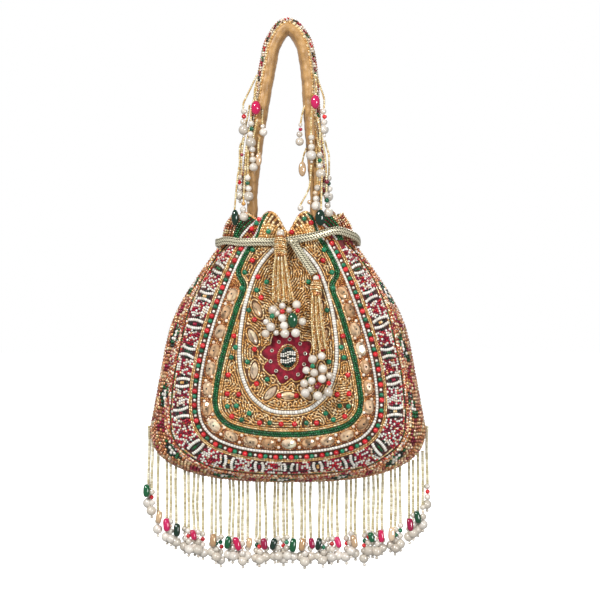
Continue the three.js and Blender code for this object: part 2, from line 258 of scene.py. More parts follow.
@dataclass(frozen=True)
class BraidFinish(Finish):
    """Flat braid of metallic yarn: columns of strands that slant to and fro, with painted shade in the gaps between
    them.
    """

    strand: float = 2.2
    column: float = 2.0
    slope: float = 1.3
    # The colour of the painted shade in the braid's grooves and in the gaps between its columns
    gap: str = "#3E3418"

    def dress(self, tree: Tree, shader: Node) -> None:
        """Draws the slanted strands from the braid's own map, whose units are millimetres, with painted shade in the
        gaps.

        Args:
            tree: the material's tree.
            shader: its Principled shader.
        """
        add = partial(add_node, tree)
        parts = add("ShaderNodeSeparateXYZ", {0: add("ShaderNodeUVMap", uv_map="run").outputs["UV"]}).outputs
        fold = add("ShaderNodeMath", {0: parts["Y"], 1: self.column}, operation="PINGPONG").outputs[0]
        slant = add("ShaderNodeMath", {0: fold, 1: self.slope, 2: parts["X"]}, operation="MULTIPLY_ADD")
        turn = add("ShaderNodeMath", {0: slant.outputs[0], 1: math.tau / self.strand}, operation="MULTIPLY")
        wave = add("ShaderNodeMath", {0: turn.outputs[0]}, operation="SINE")
        edge = add("ShaderNodeMath", {0: fold, 1: self.column - 0.25}, operation="LESS_THAN")
        top = add("ShaderNodeMapRange", {"Value": wave.outputs[0], "From Min": -0.9, "From Max": -0.1})
        inputs = {"Value": edge.outputs[0], "To Max": top.outputs["Result"]}
        height = add("ShaderNodeMapRange", inputs).outputs["Result"]
        # Where the height is low the braid takes the gap colour: painted shade, laid over the real bump below
        mixed = add("ShaderNodeMix", {0: height, 6: linear(self.gap), 7: linear(self.colour)}, data_type="RGBA")
        tree.links.new(mixed.outputs[2], shader.inputs["Base Color"])
        ridge = add("ShaderNodeBump", {"Height": height, "Strength": 0.8, "Distance": 0.5 * MM})
        tree.links.new(ridge.outputs["Normal"], shader.inputs["Normal"])


# Metal-lined seed beads, drawn glass over a foil colour: a bright point of light and a deep warm edge on each
LINED = BeadFinish("metal_lined_seed_bead_glass", roughness=0.2, metallic=0.42, coat=0.8)
# Opaque seed beads, pressed and fire-polished: an even colour and one small highlight
OPAQUE = BeadFinish("opaque_seed_bead_glass", roughness=0.22, coat=0.3)
# Foiled agate and crystal, cut and polished: flat facets that catch the light one by one
STONE = BeadFinish("cut_champagne_agate", roughness=0.08, metallic=0.2, coat=1.0)
# Cast resin drops, tumbled smooth: wet gloss over a deep colour
RESIN = BeadFinish("cast_resin_drop", roughness=0.1, coat=0.6)
# Silver-lined seed beads of the strings: paler and softer than the gold ones
LINED_PALE = BeadFinish("silver_lined_seed_bead_glass", roughness=0.34, metallic=0.12, coat=0.3)
# Glass pearls with a nacre coat: soft gloss
PEARL = BeadFinish("nacre_coated_glass_pearl", roughness=0.16, ior=1.68, coat=1.0)
# Cotton velvet, cut: dark where it is looked at straight, with a light bloom at its edges. The tufts of a real pile are
# under 0.2 mm, so its unevenness is drawn coarser, at 0.8 mm
VELVET = ClothFinish(
    "cut_cotton_velvet", roughness=0.9, sheen=0.06, colour="#920E2A", shade="#34030E", pitch=0.8, bump=0.15,
    mottle=300.0, thread=0.15,
)
# Silk ground under the beads, plain woven: matte, coloured like the beads over it, and deepened under the gold field
# as painted shade between the bead lines. Its threads, really 0.2 mm apart, are drawn coarser, at 0.5 mm
GROUND = ClothFinish("plain_woven_silk_ground", roughness=0.75, sheen=0.2, shade="#4A2A14", from_attribute=True)
# Polyester satin over a filling: a broad soft gloss, and fine threads along it. They are really 0.1 mm apart, so they
# are drawn coarser, at 1.1 mm
SATIN = ClothFinish(
    "polyester_satin", roughness=0.42, sheen=0.3, colour="#C0945A", shade="#7A5426", pitch=1.1, mottle=170.0
)
# Cotton lining, plain woven and dyed: matte. Its threads, really 0.3 mm apart, are drawn coarser, at 0.7 mm
LINING = ClothFinish("plain_woven_cotton_lining", roughness=0.8, colour="#B98C4E", shade="#7C5A2C", pitch=0.7)
# Flat braid of lurex yarn: small sparks on the strands and painted shade in the gaps between them. Real strands are
# about
# 1 mm wide, so they are drawn coarser, at 2.2 mm
BRAID = BraidFinish("braided_lurex_yarn", roughness=0.3, metallic=0.35, colour="#F2EACB")
# What the pearls, balls and drops of each tint are made of, where it isn't opaque glass
FINISH_OF = {Tint.PEARL: PEARL, Tint.EMERALD: RESIN, Tint.MAGENTA: RESIN, Tint.CHAMPAGNE: STONE, Tint.GOLD: LINED}


# ---------- meshes ----------
def piece_from(
    name: str, points: Array, faces: Sequence[Sequence[int]], finishes: Sequence[Finish], smooth: bool = True,
    tints: Array | None = None, uv: Array | None = None, slots: Sequence[int] | None = None,
) -> Piece:
    """Makes a piece from points in millimetres.

    Args:
        name: the piece's name.
        points: one row of x, y, z for each vertex.
        faces: the vertex numbers of each face.
        finishes: the materials, in slot order.
        smooth: whether its faces are shaded smooth.
        tints: one colour for each vertex.
        uv: one pair for each face corner.
        slots: each face's material slot.

    Returns:
        The piece, linked to the scene.
    """
    mesh = bpy.data.meshes.new(name)
    mesh.from_pydata((np.asarray(points) * MM).tolist(), [], [list(map(int, f)) for f in faces])
    for finish in finishes:
        mesh.materials.append(finish.material())
    mesh.polygons.foreach_set("use_smooth", [smooth] * len(mesh.polygons))
    if slots is not None:
        mesh.polygons.foreach_set("material_index", list(slots))
    if tints is not None:
        layer = mesh.attributes.new("tint", "FLOAT_COLOR", "POINT")
        layer.data.foreach_set("color", np.asarray(tints, dtype=np.float32).ravel())
    if uv is not None:
        mesh.uv_layers.new(name="run").data.foreach_set("uv", np.asarray(uv, dtype=np.float32).ravel())
    mesh.update()
    made = bpy.data.objects.new(name, mesh)
    bpy.context.scene.collection.objects.link(made)
    return made


def sphere_points(detail: int) -> tuple[Array, list[tuple[int, int, int]]]:
    """Makes a unit ball of triangles.

    Args:
        detail: 1 for 20 faces, 2 for 80 and 3 for 320.

    Returns:
        Its points and its faces.
    """
    gold = (1 + math.sqrt(5)) / 2
    points = [(-1, gold, 0), (1, gold, 0), (-1, -gold, 0), (1, -gold, 0), (0, -1, gold), (0, 1, gold)]
    points += [(0, -1, -gold), (0, 1, -gold), (gold, 0, -1), (gold, 0, 1), (-gold, 0, -1), (-gold, 0, 1)]
    spots = [np.array(p) / np.linalg.norm(p) for p in points]
    faces = [(0, 11, 5), (0, 5, 1), (0, 1, 7), (0, 7, 10), (0, 10, 11), (1, 5, 9), (5, 11, 4), (11, 10, 2)]
    faces += [(10, 7, 6), (7, 1, 8), (3, 9, 4), (3, 4, 2), (3, 2, 6), (3, 6, 8), (3, 8, 9), (4, 9, 5)]
    faces += [(2, 4, 11), (6, 2, 10), (8, 6, 7), (9, 8, 1)]
    for _ in range(detail - 1):
        middle: dict[tuple[int, int], int] = {}
        finer = []
        for a, b, c in faces:
            corners = []
            for i, j in ((a, b), (b, c), (c, a)):
                key = (min(i, j), max(i, j))
                if key not in middle:
                    spot = spots[i] + spots[j]
                    middle[key] = len(spots)
                    spots.append(spot / np.linalg.norm(spot))
                corners.append(middle[key])
            ab, bc, ca = corners
            finer += [(a, ab, ca), (ab, b, bc), (ca, bc, c), (ab, bc, ca)]
        faces = finer
    return np.array(spots), faces


@dataclass
class Balls:
    """A few beads, drops and pearls that make one piece, each with its own shape, colour and finish."""

    points: list[Array] = field(default_factory=list)
    faces: list[tuple[int, ...]] = field(default_factory=list)
    tints: list[Array] = field(default_factory=list)
    slots: list[int] = field(default_factory=list)
    finishes: list[Finish] = field(default_factory=list)
    count: int = 0

    def add(
        self, centre: Array, half: Array, colour: Colour, finish: Finish, detail: int = 2, along: Array | None = None,
        square: float = 1.0,
    ) -> None:
        """Adds one ball.

        Args:
            centre: its middle.
            half: its half sizes, along its axis and across it twice, when it has an axis, or in x, y and z.
            colour: its linear colour.
            finish: what it is made of.
            detail: how finely it is divided.
            along: the direction of its axis.
            square: 1 for a ball, less for a pebble with blunt ends.
        """
        unit_ball, faces = sphere_points(detail)
        shape = np.sign(unit_ball) * np.abs(unit_ball) ** square * np.asarray(half)
        if along is not None:
            first = unit(along)
            side = unit(np.cross(first, UP if abs(first[2]) < 0.9 else np.array([1.0, 0.0, 0.0])))
            shape = shape @ np.array([first, side, np.cross(first, side)])
        if finish not in self.finishes:
            self.finishes.append(finish)
        self.points.append(shape + np.asarray(centre))
        self.faces += [tuple(i + self.count for i in f) for f in faces]
        self.tints.append(np.tile(colour, (len(unit_ball), 1)))
        self.slots += [self.finishes.index(finish)] * len(faces)
        self.count += len(unit_ball)

    def thread_on(
        self, centre: Array, half: float | tuple, tint: Tint, rng: np.random.Generator, fine_from: float = 2.2
    ) -> None:
        """Adds a pearl, ball or drop of its tint's own finish.

        Args:
            centre: its middle.
            half: its radius, or its half sizes in x, y and z.
            tint: its tint.
            rng: what its colour is picked with.
            fine_from: the half size above which it is divided more finely.
        """
        size = half if isinstance(half, tuple) else (half,) * 3
        self.add(centre, size, tint.pick(rng), FINISH_OF.get(tint, OPAQUE), 3 if max(size) > fine_from else 2)

    def build(self, name: str, back: bool = False) -> Piece:
        """Makes the piece.

        Args:
            name: the piece's name.
            back: whether it is turned round to the back.

        Returns:
            The piece.
        """
        points = np.concatenate(self.points) * (TO_BACK if back else 1.0)
        return piece_from(name, points, self.faces, self.finishes, tints=np.concatenate(self.tints), slots=self.slots)


def bead_tree() -> Tree:
    """Makes the tree that sets a bead on every point, round or cut from tube, turned and sized by its attributes.

    Returns:
        The tree, made once.
    """
    known = bpy.data.node_groups.get("bead_rows")
    if known is not None:
        return known
    tree = bpy.data.node_groups.new("bead_rows", "GeometryNodeTree")
    sockets = (("Geometry", "Geometry"), ("Bead Detail", "Int"), ("Cut From Tube", "Bool"), ("Bead Glass", "Material"))
    for name, kind in sockets:
        tree.interface.new_socket(name, in_out="INPUT", socket_type=f"NodeSocket{kind}")
    tree.interface.new_socket("Geometry", in_out="OUTPUT", socket_type="NodeSocketGeometry")
    add = partial(add_node, tree)
    smooth = partial(add, "GeometryNodeSetShadeSmooth")
    start = add("NodeGroupInput").outputs
    ball = add("GeometryNodeMeshIcoSphere", {"Radius": 0.5, "Subdivisions": start["Bead Detail"]})
    tube = add("GeometryNodeMeshCylinder", {"Vertices": 7, "Radius": 0.5, "Depth": 1.0}).outputs
    tube_side = smooth({"Geometry": tube["Mesh"], "Selection": tube["Side"]}).outputs["Geometry"]
    tube_cut = smooth({"Geometry": tube_side, "Selection": tube["Top"], "Shade Smooth": False}).outputs["Geometry"]
    laid = add("GeometryNodeTransform", {"Geometry": tube_cut, "Rotation": (0.0, math.pi / 2, 0.0)})
    shapes = {
        "Switch": start["Cut From Tube"], "False": smooth({"Geometry": ball.outputs["Mesh"]}).outputs["Geometry"],
        "True": laid.outputs["Geometry"],
    }
    shape = add("GeometryNodeSwitch", shapes, input_type="GEOMETRY")
    along, outward, size = (
        add("GeometryNodeInputNamedAttribute", {"Name": name}, data_type="FLOAT_VECTOR").outputs["Attribute"]
        for name in ("along", "outward", "bead_size")
    )
    lying = add("FunctionNodeAlignRotationToVector", {"Vector": along}, axis="X").outputs["Rotation"]
    facing = {"Rotation": lying, "Vector": outward}
    turned = add("FunctionNodeAlignRotationToVector", facing, axis="Z", pivot_axis="X").outputs["Rotation"]
    placed = {"Points": start["Geometry"], "Instance": shape.outputs["Output"], "Rotation": turned, "Scale": size}
    beads = add("GeometryNodeInstanceOnPoints", placed).outputs["Instances"]
    real = add("GeometryNodeRealizeInstances", {"Geometry": beads}).outputs["Geometry"]
    dressed = add("GeometryNodeSetMaterial", {"Geometry": real, "Material": start["Bead Glass"]})
    add("NodeGroupOutput", {"Geometry": dressed.outputs["Geometry"]})
    return tree


@dataclass
class BeadCloud:
    """Many small beads of one finish."""

    finish: Finish
    detail: int = 1
    tube: bool = False
    spots: list[Array] = field(default_factory=list)
    along: list[Array] = field(default_factory=list)
    outward: list[Array] = field(default_factory=list)
    sizes: list[tuple[float, float, float]] = field(default_factory=list)
    tints: list[Colour] = field(default_factory=list)

    def add(self, spot: Array, along: Array, outward: Array, size: tuple, colour: Colour) -> None:
        """Adds a bead.

        Args:
            spot: its middle.
            along: the way its hole runs.
            outward: the way it faces.
            size: its length, width and height.
            colour: its linear colour.
        """
        self.spots.append(spot)
        self.along.append(along)
        self.outward.append(outward)
        self.sizes.append(size)
        self.tints.append(colour)

    def turned_round(self) -> "BeadCloud":
        """Gives the same beads turned half round the bag's upright axis, for the back.

        Returns:
            The other beads.
        """
        ways = {name: [v * TO_BACK for v in getattr(self, name)] for name in ("spots", "along", "outward")}
        return replace(self, **ways)

    def build(self, name: str) -> Piece:
        """Makes the beads as one plain mesh.

        Args:
            name: the piece's name.

        Returns:
            The beads.
        """
        mesh = bpy.data.meshes.new(f"{name}_points")
        mesh.from_pydata((np.array(self.spots) * MM).tolist(), [], [])
        ways = {"along": self.along, "outward": self.outward, "bead_size": np.array(self.sizes) * MM}
        for layer_name, values in ways.items():
            layer = mesh.attributes.new(layer_name, "FLOAT_VECTOR", "POINT")
            layer.data.foreach_set("vector", np.asarray(values, dtype=np.float32).ravel())
        layer = mesh.attributes.new("tint", "FLOAT_COLOR", "POINT")
        layer.data.foreach_set("color", np.asarray(self.tints, dtype=np.float32).ravel())
        holder = bpy.data.objects.new(f"{name}_points", mesh)
        bpy.context.scene.collection.objects.link(holder)
        rows = holder.modifiers.new("rows", "NODES")
        tree = bead_tree()
        rows.node_group = tree
        wanted = {"Bead Detail": self.detail, "Cut From Tube": self.tube, "Bead Glass": self.finish.material()}
        for item in tree.interface.items_tree:
            if item.in_out == "INPUT" and item.name in wanted:
                rows[item.identifier] = wanted[item.name]
        beads = bpy.data.meshes.new_from_object(holder.evaluated_get(bpy.context.evaluated_depsgraph_get()))
        beads.name = name
        for layer_name in ways:
            if layer_name in beads.attributes:
                beads.attributes.remove(beads.attributes[layer_name])
        holder.modifiers.remove(rows)
        bpy.data.objects.remove(holder)
        made = bpy.data.objects.new(name, beads)
        bpy.context.scene.collection.objects.link(made)
        return made


# ---------- directions and curves ----------
def unit(ways: Array) -> Array:
    """Makes a direction, or each row of directions, one long."""
    return ways / np.linalg.norm(ways, axis=-1, keepdims=True)


def circle(count: int, shift: float = 0.0) -> list[tuple[float, float]]:
    """Gives the cosine and sine at even steps round a circle."""
    return [(math.cos(a), math.sin(a)) for a in (math.tau * (k + shift) / count for k in range(count))]


def blunt(share: float, power: float) -> float:
    """Raises a share to a power and keeps its sign, which squares off a round section."""
    return math.copysign(abs(share) ** power, share)


def between(start: float, end: float, at: float, first: Array, second: Array) -> Array:
    """Gives the place at one time between two places that are passed at a start and an end."""
    return (end - at) / (end - start) * first + (at - start) / (end - start) * second


def distances(line: Array) -> Array:
    """Gives each mark's distance along a line."""
    return np.concatenate([[0.0], np.cumsum(np.linalg.norm(np.diff(line, axis=0), axis=1))])


def along_curve(points: Sequence, step: float) -> Array:
    """Runs a smooth curve through points and marks it off at even steps.

    Args:
        points: the points it runs through, in two or three dimensions.
        step: the distance between the marks.

    Returns:
        One mark in each row.
    """
    knots = np.asarray(points, dtype=float)
    padded = np.vstack([2 * knots[0] - knots[1], knots, 2 * knots[-1] - knots[-2]])
    fine = []
    for a, b, c, d in zip(padded, padded[1:], padded[2:], padded[3:]):
        for t in np.linspace(0, 1, 12, endpoint=False):
            bend = (2 * a - 5 * b + 4 * c - d) * t * t + (3 * b - a - 3 * c + d) * t**3
            fine.append(0.5 * (2 * b + (c - a) * t + bend))
    fine.append(knots[-1])
    return even_steps(np.array(fine), step)


def even_steps(line: Array, step: float) -> Array:
    """Marks off a line of straight runs at even steps.

    Args:
        line: its marks.
        step: the distance between the new ones.

    Returns:
        The new marks.
    """
    run = distances(line)
    wanted = np.linspace(0, run[-1], max(round(run[-1] / step), 1) + 1)
    return np.stack([np.interp(wanted, run, column) for column in line.T], axis=1)


def marks_along(line: Array, pitch: float) -> list[tuple[Array, Array]]:
    """Marks off a line at even steps, and gives each mark and the way the line runs there.

    Args:
        line: its marks.
        pitch: the distance between the new ones.

    Returns:
        The pairs.
    """
    marks = even_steps(line, pitch)
    return list(zip(marks, np.gradient(marks, axis=0)))


def both_halves(half: Sequence[tuple[float, float]], step: float) -> Array:
    """Joins a line and its mirror image at the middle of the bottom.

    Args:
        half: x and z down the right half, from its top to the middle.
        step: the distance between the marks on the result.

    Returns:
        The whole line, from its left top round to its right top.
    """
    left = [(-x, z) for x, z in half]
    right = list(half)[::-1]
    return along_curve(left + (right[1:] if half[-1][0] == 0 else right), step)


def inside(line: Array, x: Array, z: Array) -> Array:
    """Says which points lie inside a line whose two ends are joined straight.

    Args:
        line: its marks.
        x: how far right each point is.
        z: how high it is.

    Returns:
        True for each point inside.
    """
    result = np.zeros(np.shape(x), dtype=bool)
    for (x0, z0), (x1, z1) in zip(line, np.roll(line, -1, axis=0)):
        if z0 == z1:
            continue
        crosses = ((z0 > z) != (z1 > z)) & (x < (x1 - x0) * (z - z0) / (z1 - z0) + x0)
        result ^= crosses
    return result


def seen(place: Array) -> Array:
    """Gives the x and z that a place has in the embroidery's drawing.

    Args:
        place: a point of the bag.

    Returns:
        Its x and z.
    """
    spot = SIGHT + (place - SIGHT) * (-SIGHT[1] / (place[1] - SIGHT[1]))
    return spot[[0, 2]]


def away_from(line: Array, x: Array, z: Array) -> Array:
    """Gives the distance of each point from a line's marks.

    Args:
        line: its marks.
        x: how far right each point is.
        z: how high it is.

    Returns:
        The distances.
    """
    spots = np.stack([np.ravel(x), np.ravel(z)], axis=1)
    gap = np.full(len(spots), np.inf)
    for mark in line:
        gap = np.minimum(gap, np.hypot(spots[:, 0] - mark[0], spots[:, 1] - mark[1]))
    return gap.reshape(np.shape(x))


def through(table: Sequence[tuple[float, float]], z: Array | float) -> Array:
    """Reads the smooth curve through a table whose pairs run from high to low.

    Args:
        table: pairs of height and value.
        z: the heights to read.

    Returns:
        The values.
    """
    heights, values = np.array(table, dtype=float).T
    last = len(heights) - 1
    after = np.minimum(np.arange(last + 1) + 1, last)
    before = np.maximum(np.arange(last + 1) - 1, 0)
    slopes = (values[after] - values[before]) / (heights[after] - heights[before])
    z = np.clip(np.asarray(z, dtype=float), heights[-1], heights[0])
    i = np.clip(np.searchsorted(-heights, -z, side="right") - 1, 0, last - 1)
    span = heights[i + 1] - heights[i]
    t = (z - heights[i]) / span
    ease = t * t * (3 - 2 * t)
    bend = span * (slopes[i] * t * (1 - t) ** 2 - slopes[i + 1] * t * t * (1 - t))
    return values[i] * (1 - ease) + values[i + 1] * ease + bend


def level_lines(values: Array, first: Array, second: Array) -> list[Array]:
    """Traces the lines along which a grid of values passes through nought.

    Args:
        values: the grid.
        first: the grid's first coordinate along its first axis.
        second: the grid's second coordinate along its second axis.

    Returns:
        Each line, as rows of the two coordinates.
    """
    up = values > 0
    mixed = up[:-1, :-1].astype(int) + up[1:, :-1] + up[:-1, 1:] + up[1:, 1:]
    spots: dict[tuple, tuple[float, float]] = {}
    links: dict[tuple, list[tuple]] = {}
    for i, j in np.argwhere((mixed > 0) & (mixed < 4)).tolist():
        corners = ((i, j), (i + 1, j), (i + 1, j + 1), (i, j + 1))
        crossed = []
        for a, b in zip(corners, corners[1:] + corners[:1]):
            if up[a] == up[b]:
                continue
            a, b = min(a, b), max(a, b)
            share = values[a] / (values[a] - values[b])
            spots[a, b] = (
                first[a[0]] + share * (first[b[0]] - first[a[0]]), second[a[1]] + share * (second[b[1]] - second[a[1]])
            )
            crossed.append((a, b))
        for a, b in zip(crossed[::2], crossed[1::2]):
            links.setdefault(a, []).append(b)
            links.setdefault(b, []).append(a)
    lines = []
    for begin in sorted(links, key=lambda edge: len(links[edge])):
        if not links[begin]:
            continue
        line = [begin]
        while links[line[-1]]:
            here, after = line[-1], links[line[-1]].pop()
            links[after].remove(here)
            line.append(after)
        lines.append(np.array([spots[edge] for edge in line]))
    return lines


# ---------- pouch ----------
@dataclass
class Pouch:
    """The gathered pouch: its shape, its two embroidered panels and its lining."""

    rim_z: float = -143.0
    neck_z: float = -166.0
    widest_z: float = -314.0
    widest_half: float = 109.6
    deepest_z: float = -290.0
    deepest_half: float = 45.5
    bottom_z: float = -357.0
    corner_power: float = 2.6
    belly_power: float = 2.2
    pleats: int = 10
    half_width_at: tuple = (
        (-143, 44), (-152, 50), (-160, 52), (-166, 53), (-175, 59), (-190, 69.5), (-209, 82),
        (-228, 91.5), (-247, 97), (-276, 102.5), (-295, 106), (-314, 109.6),
    )
    half_depth_at: tuple = (
        (-143, 27), (-155, 26), (-166, 25), (-175, 27), (-190, 31.5), (-209, 36.5),
        (-228, 40.5), (-247, 43.5), (-270, 45), (-290, 45.5),
    )
    pleat_depth_at: tuple = ((-143, 0.2), (-160, 0.17), (-172, 0.13), (-195, 0.05), (-215, 0))
    cloth_inset: float = 1.1
    cloth_inner: float = 2.9
    lining_insets: tuple[float, float] = (3.3, 4.2)
    seam_gap: float = 0.2
    face: BVHTree = field(init=False)

    def __post_init__(self) -> None:
        """Prepares the front's cloth face, which beads are laid on."""
        grid = self.grid(self.cloth_inset, math.radians(-90), math.radians(90), 180)
        points = grid.reshape(-1, 3)
        self.face = BVHTree.FromPolygons([Vector(p) for p in points], self.quads(*grid.shape[:2]))

    @staticmethod
    def quads(rows: int, columns: int, start: int = 0, flip: bool = False) -> list[tuple[int, ...]]:
        """Joins a grid of vertices into faces.

        Args:
            rows: how many rings.
            columns: how many points in each.
            start: the first one's number.
            flip: whether they face the other way.

        Returns:
            The faces.
        """
        made = []
        for r in range(rows - 1):
            for c in range(columns - 1):
                a = start + r * columns + c
                quad = (a, a + 1, a + columns + 1, a + columns)
                made.append(quad[::-1] if flip else quad)
        return made

    def share(self, drop: Array, height: float, power: float) -> Array:
        """Gives how much of its widest size the pouch keeps at a drop below the widest place."""
        return (1 - np.clip(drop / height, 0, 1) ** power) ** (1 / power)

    def half_width(self, z: Array, inset: float) -> Array:
        """Gives half the pouch's width at a height.

        Args:
            z: the height.
            inset: how far inside the beads' face.

        Returns:
            The half width.
        """
        low = self.share(self.widest_z - z, self.widest_z - self.bottom_z - inset, self.corner_power)
        return np.where(z > self.widest_z, through(self.half_width_at, z) - inset, (self.widest_half - inset) * low)

    def half_depth(self, z: Array, inset: float) -> Array:
        """Gives half the pouch's depth at a height.

        Args:
            z: the height.
            inset: how far inside the beads' face.

        Returns:
            The half depth.
        """
        low = self.share(self.deepest_z - z, self.deepest_z - self.bottom_z - inset, self.belly_power)
        return np.where(z > self.deepest_z, through(self.half_depth_at, z) - inset, (self.deepest_half - inset) * low)

    def rim(self, turn: Array) -> Array:
        """Gives the height of the ruffle's edge: a lobe over each pleat, and a deeper dip in the middle.

        Args:
            turn: the angle from the middle of the front.

        Returns:
            The height.
        """
        valley = 0.5 + 0.5 * np.cos(self.pleats * turn)
        off_centre = np.minimum(np.abs(turn), np.abs(np.abs(turn) - np.pi))
        return self.rim_z - 6 * valley - 10 * np.exp(-((off_centre / math.radians(9)) ** 2))

    def point(self, z: Array, turn: Array, inset: float) -> Array:
        """Gives points of the pouch's surface: turn 0 is the middle of the front.

        Args:
            z: heights.
            turn: angles from the middle of the front.
            inset: how far inside the beads' face.

        Returns:
            The points.
        """
        z, turn = np.broadcast_arrays(np.asarray(z, dtype=float), np.asarray(turn, dtype=float))
        pleat = 1 - through(self.pleat_depth_at, z) * (0.5 + 0.5 * np.cos(self.pleats * turn))
        x = self.half_width(z, inset) * pleat * np.sin(turn)
        y = -self.half_depth(z, inset) * pleat * np.cos(turn)
        return np.stack([x, y, z], axis=-1)

    def grid(self, inset: float, start: float, end: float, around: int) -> Array:
        """Gives rings of points from the rim down to the bottom.

        Args:
            inset: how far inside the beads' face.
            start: the angle it starts at.
            end: the angle it ends at.
            around: how many steps between them.

        Returns:
            Rings of points.
        """
        turns = np.linspace(start, end, around + 1)
        ruffle = self.rim(turns) - self.neck_z
        rings = [self.point(self.neck_z + s * ruffle, turns, inset) for s in np.linspace(1, 0, 12)]
        rings += [self.point(z, turns, inset) for z in np.linspace(self.neck_z, self.widest_z, 52)[1:]]
        low = self.bottom_z + inset
        for angle in np.linspace(0, math.pi / 2, 34)[1:]:
            z = self.widest_z + min(math.sin(angle), 0.99998) * (low - self.widest_z)
            rings.append(self.point(z, turns, inset))
        return np.array(rings)

    def on_face(self, x: float, z: float) -> tuple[Array, Array] | None:
        """Finds the place on the front's cloth that is seen at x and z, and the way it faces.

        Args:
            x: how far right it is.
            z: how high it is.

        Returns:
            The place and the way it faces, or nothing beside the cloth.
        """
        place, normal, _, _ = self.face.ray_cast(Vector(SIGHT), (Vector((x, 0.0, z)) - Vector(SIGHT)).normalized())
        if place is None:
            return None
        facing = np.array(normal)
        return np.array(place), facing if facing[1] < 0 else -facing

    def nearest(self, spot: Array) -> tuple[Array, Array]:
        """Finds the front's nearest place to a point, and the way it faces.

        Args:
            spot: a point near the front.

        Returns:
            The place and the way it faces.
        """
        place, normal, _, _ = self.face.find_nearest(Vector(spot))
        facing = np.array(normal)
        # The face points away from the pouch's upright core
        core = UP * (min(place.z, -200.0) if place.z > -300 else -290.0)
        return np.array(place), facing if facing @ (np.array(place) - core) > 0 else -facing

    def panel(self, name: str, back: bool, tint_at: Callable[[Array, Array], Array]) -> Piece:
        """Makes one panel's cloth as a closed shell.

        Args:
            name: the piece's name.
            back: whether it is the back panel.
            tint_at: gives the cloth's colours at arrays of x and z.

        Returns:
            The panel.
        """
        edge = math.radians(90) - self.seam_gap / self.widest_half
        outer = self.grid(self.cloth_inset, -edge, edge, 120)
        inner = self.grid(self.cloth_inner, -edge, edge, 120)
        return self.closed_shell(name, outer, inner, GROUND, back, tint_at)

    def closed_shell(
        self, name: str, outer: Array, inner: Array, finish: Finish, back: bool, tint_at: Callable | None = None
    ) -> Piece:
        """Closes an outer and an inner grid into one shell, turned to the back if it is asked for.

        Args:
            name: the piece's name.
            outer: the outer rings.
            inner: the inner rings.
            finish: what it is made of.
            back: whether it is the back panel.
            tint_at: gives the cloth's colours at arrays of x and z.

        Returns:
            The shell.
        """
        rows, columns = outer.shape[:2]
        count = rows * columns
        points = np.vstack([outer.reshape(-1, 3), inner.reshape(-1, 3)])
        faces = self.quads(rows, columns) + self.quads(rows, columns, count, flip=True)
        for r in range(rows - 1):
            a, b = r * columns, (r + 1) * columns
            faces.append((a, b, count + b, count + a))
            a, b = a + columns - 1, b + columns - 1
            faces.append((b, a, count + a, count + b))
        for c in range(columns - 1):
            faces.append((c + 1, c, count + c, count + c + 1))
            low = (rows - 1) * columns + c
            faces.append((low, low + 1, count + low + 1, count + low))
        tints = tint_at(*np.array([seen(p) for p in points]).T) if tint_at else None
        return piece_from(name, points * (TO_BACK if back else 1.0), faces, [finish], tints=tints)

    def lining(self) -> Piece:
        """Makes the lining as one closed inner pouch.

        Returns:
            The lining.
        """
        outer, inner = (self.grid(inset, -math.pi, math.pi, 160) for inset in self.lining_insets)
        return self.closed_shell("pouch_lining", outer, inner, LINING, False)


# ---------- embroidery ----------
@dataclass(frozen=True)
class Stitch:
    """How a row is sewn: its beads and their tint, their pitch, width and height, and how full the pitch is."""

    cloud: str
    tint: Tint
    pitch: float
    width: float
    height: float | None = None
    fill: float = 1.12


FIELD_LINE = Stitch("gold_beads", Tint.GOLD, 2.2, 1.3, 1.4, 1.0)
INNER_WHITE_LINE = Stitch("cut_beads", Tint.WHITE, 2.1, 3.0, 2.2, 0.9)
OUTER_WHITE_LINE = Stitch("cut_beads", Tint.WHITE, 2.2, 2.2, 2.1, 0.9)
GREEN_LINE = Stitch("cut_beads", Tint.GREEN, 1.8, 2.1, 2.0, 0.94)
GREEN_EDGE = Stitch("gold_beads", Tint.GOLD, 2.8, 1.3)
STONE_GROUND = Stitch("copper_beads", Tint.DEEP_GOLD, 1.8, 1.75)
STONE_SETTING = Stitch("copper_beads", Tint.COPPER, 1.7, 1.5)
BALL_EDGE = Stitch("gold_beads", Tint.GOLD, 2.4, 1.25)
MOSAIC = Stitch("seed_beads", Tint.WHITE, 2.0, 2.1, 1.8)
BORDER_IN = Stitch("gold_beads", Tint.GOLD, 2.4, 1.3)
BORDER_DOTS = Stitch("seed_beads", Tint.BLACK, 1.9, 1.7)
BORDER_OUT = Stitch("gold_beads", Tint.DEEP_GOLD, 2.4, 1.3)
BORDER = Stitch("copper_beads", Tint.COPPER, 2.8, 2.75, 2.5)
SEAM = Stitch("copper_beads", Tint.COPPER, 2.35, 2.7)
RUFFLE_MIDDLE = Stitch("gold_beads", Tint.GOLD, 2.4, 2.1)
RUFFLE_SIDE = Stitch("copper_beads", Tint.COPPER, 1.9, 2.5)
RUFFLE_RIM = Stitch("gold_beads", Tint.GOLD, 1.9, 2.1)
BeadChoice = tuple[str, Tint] | None


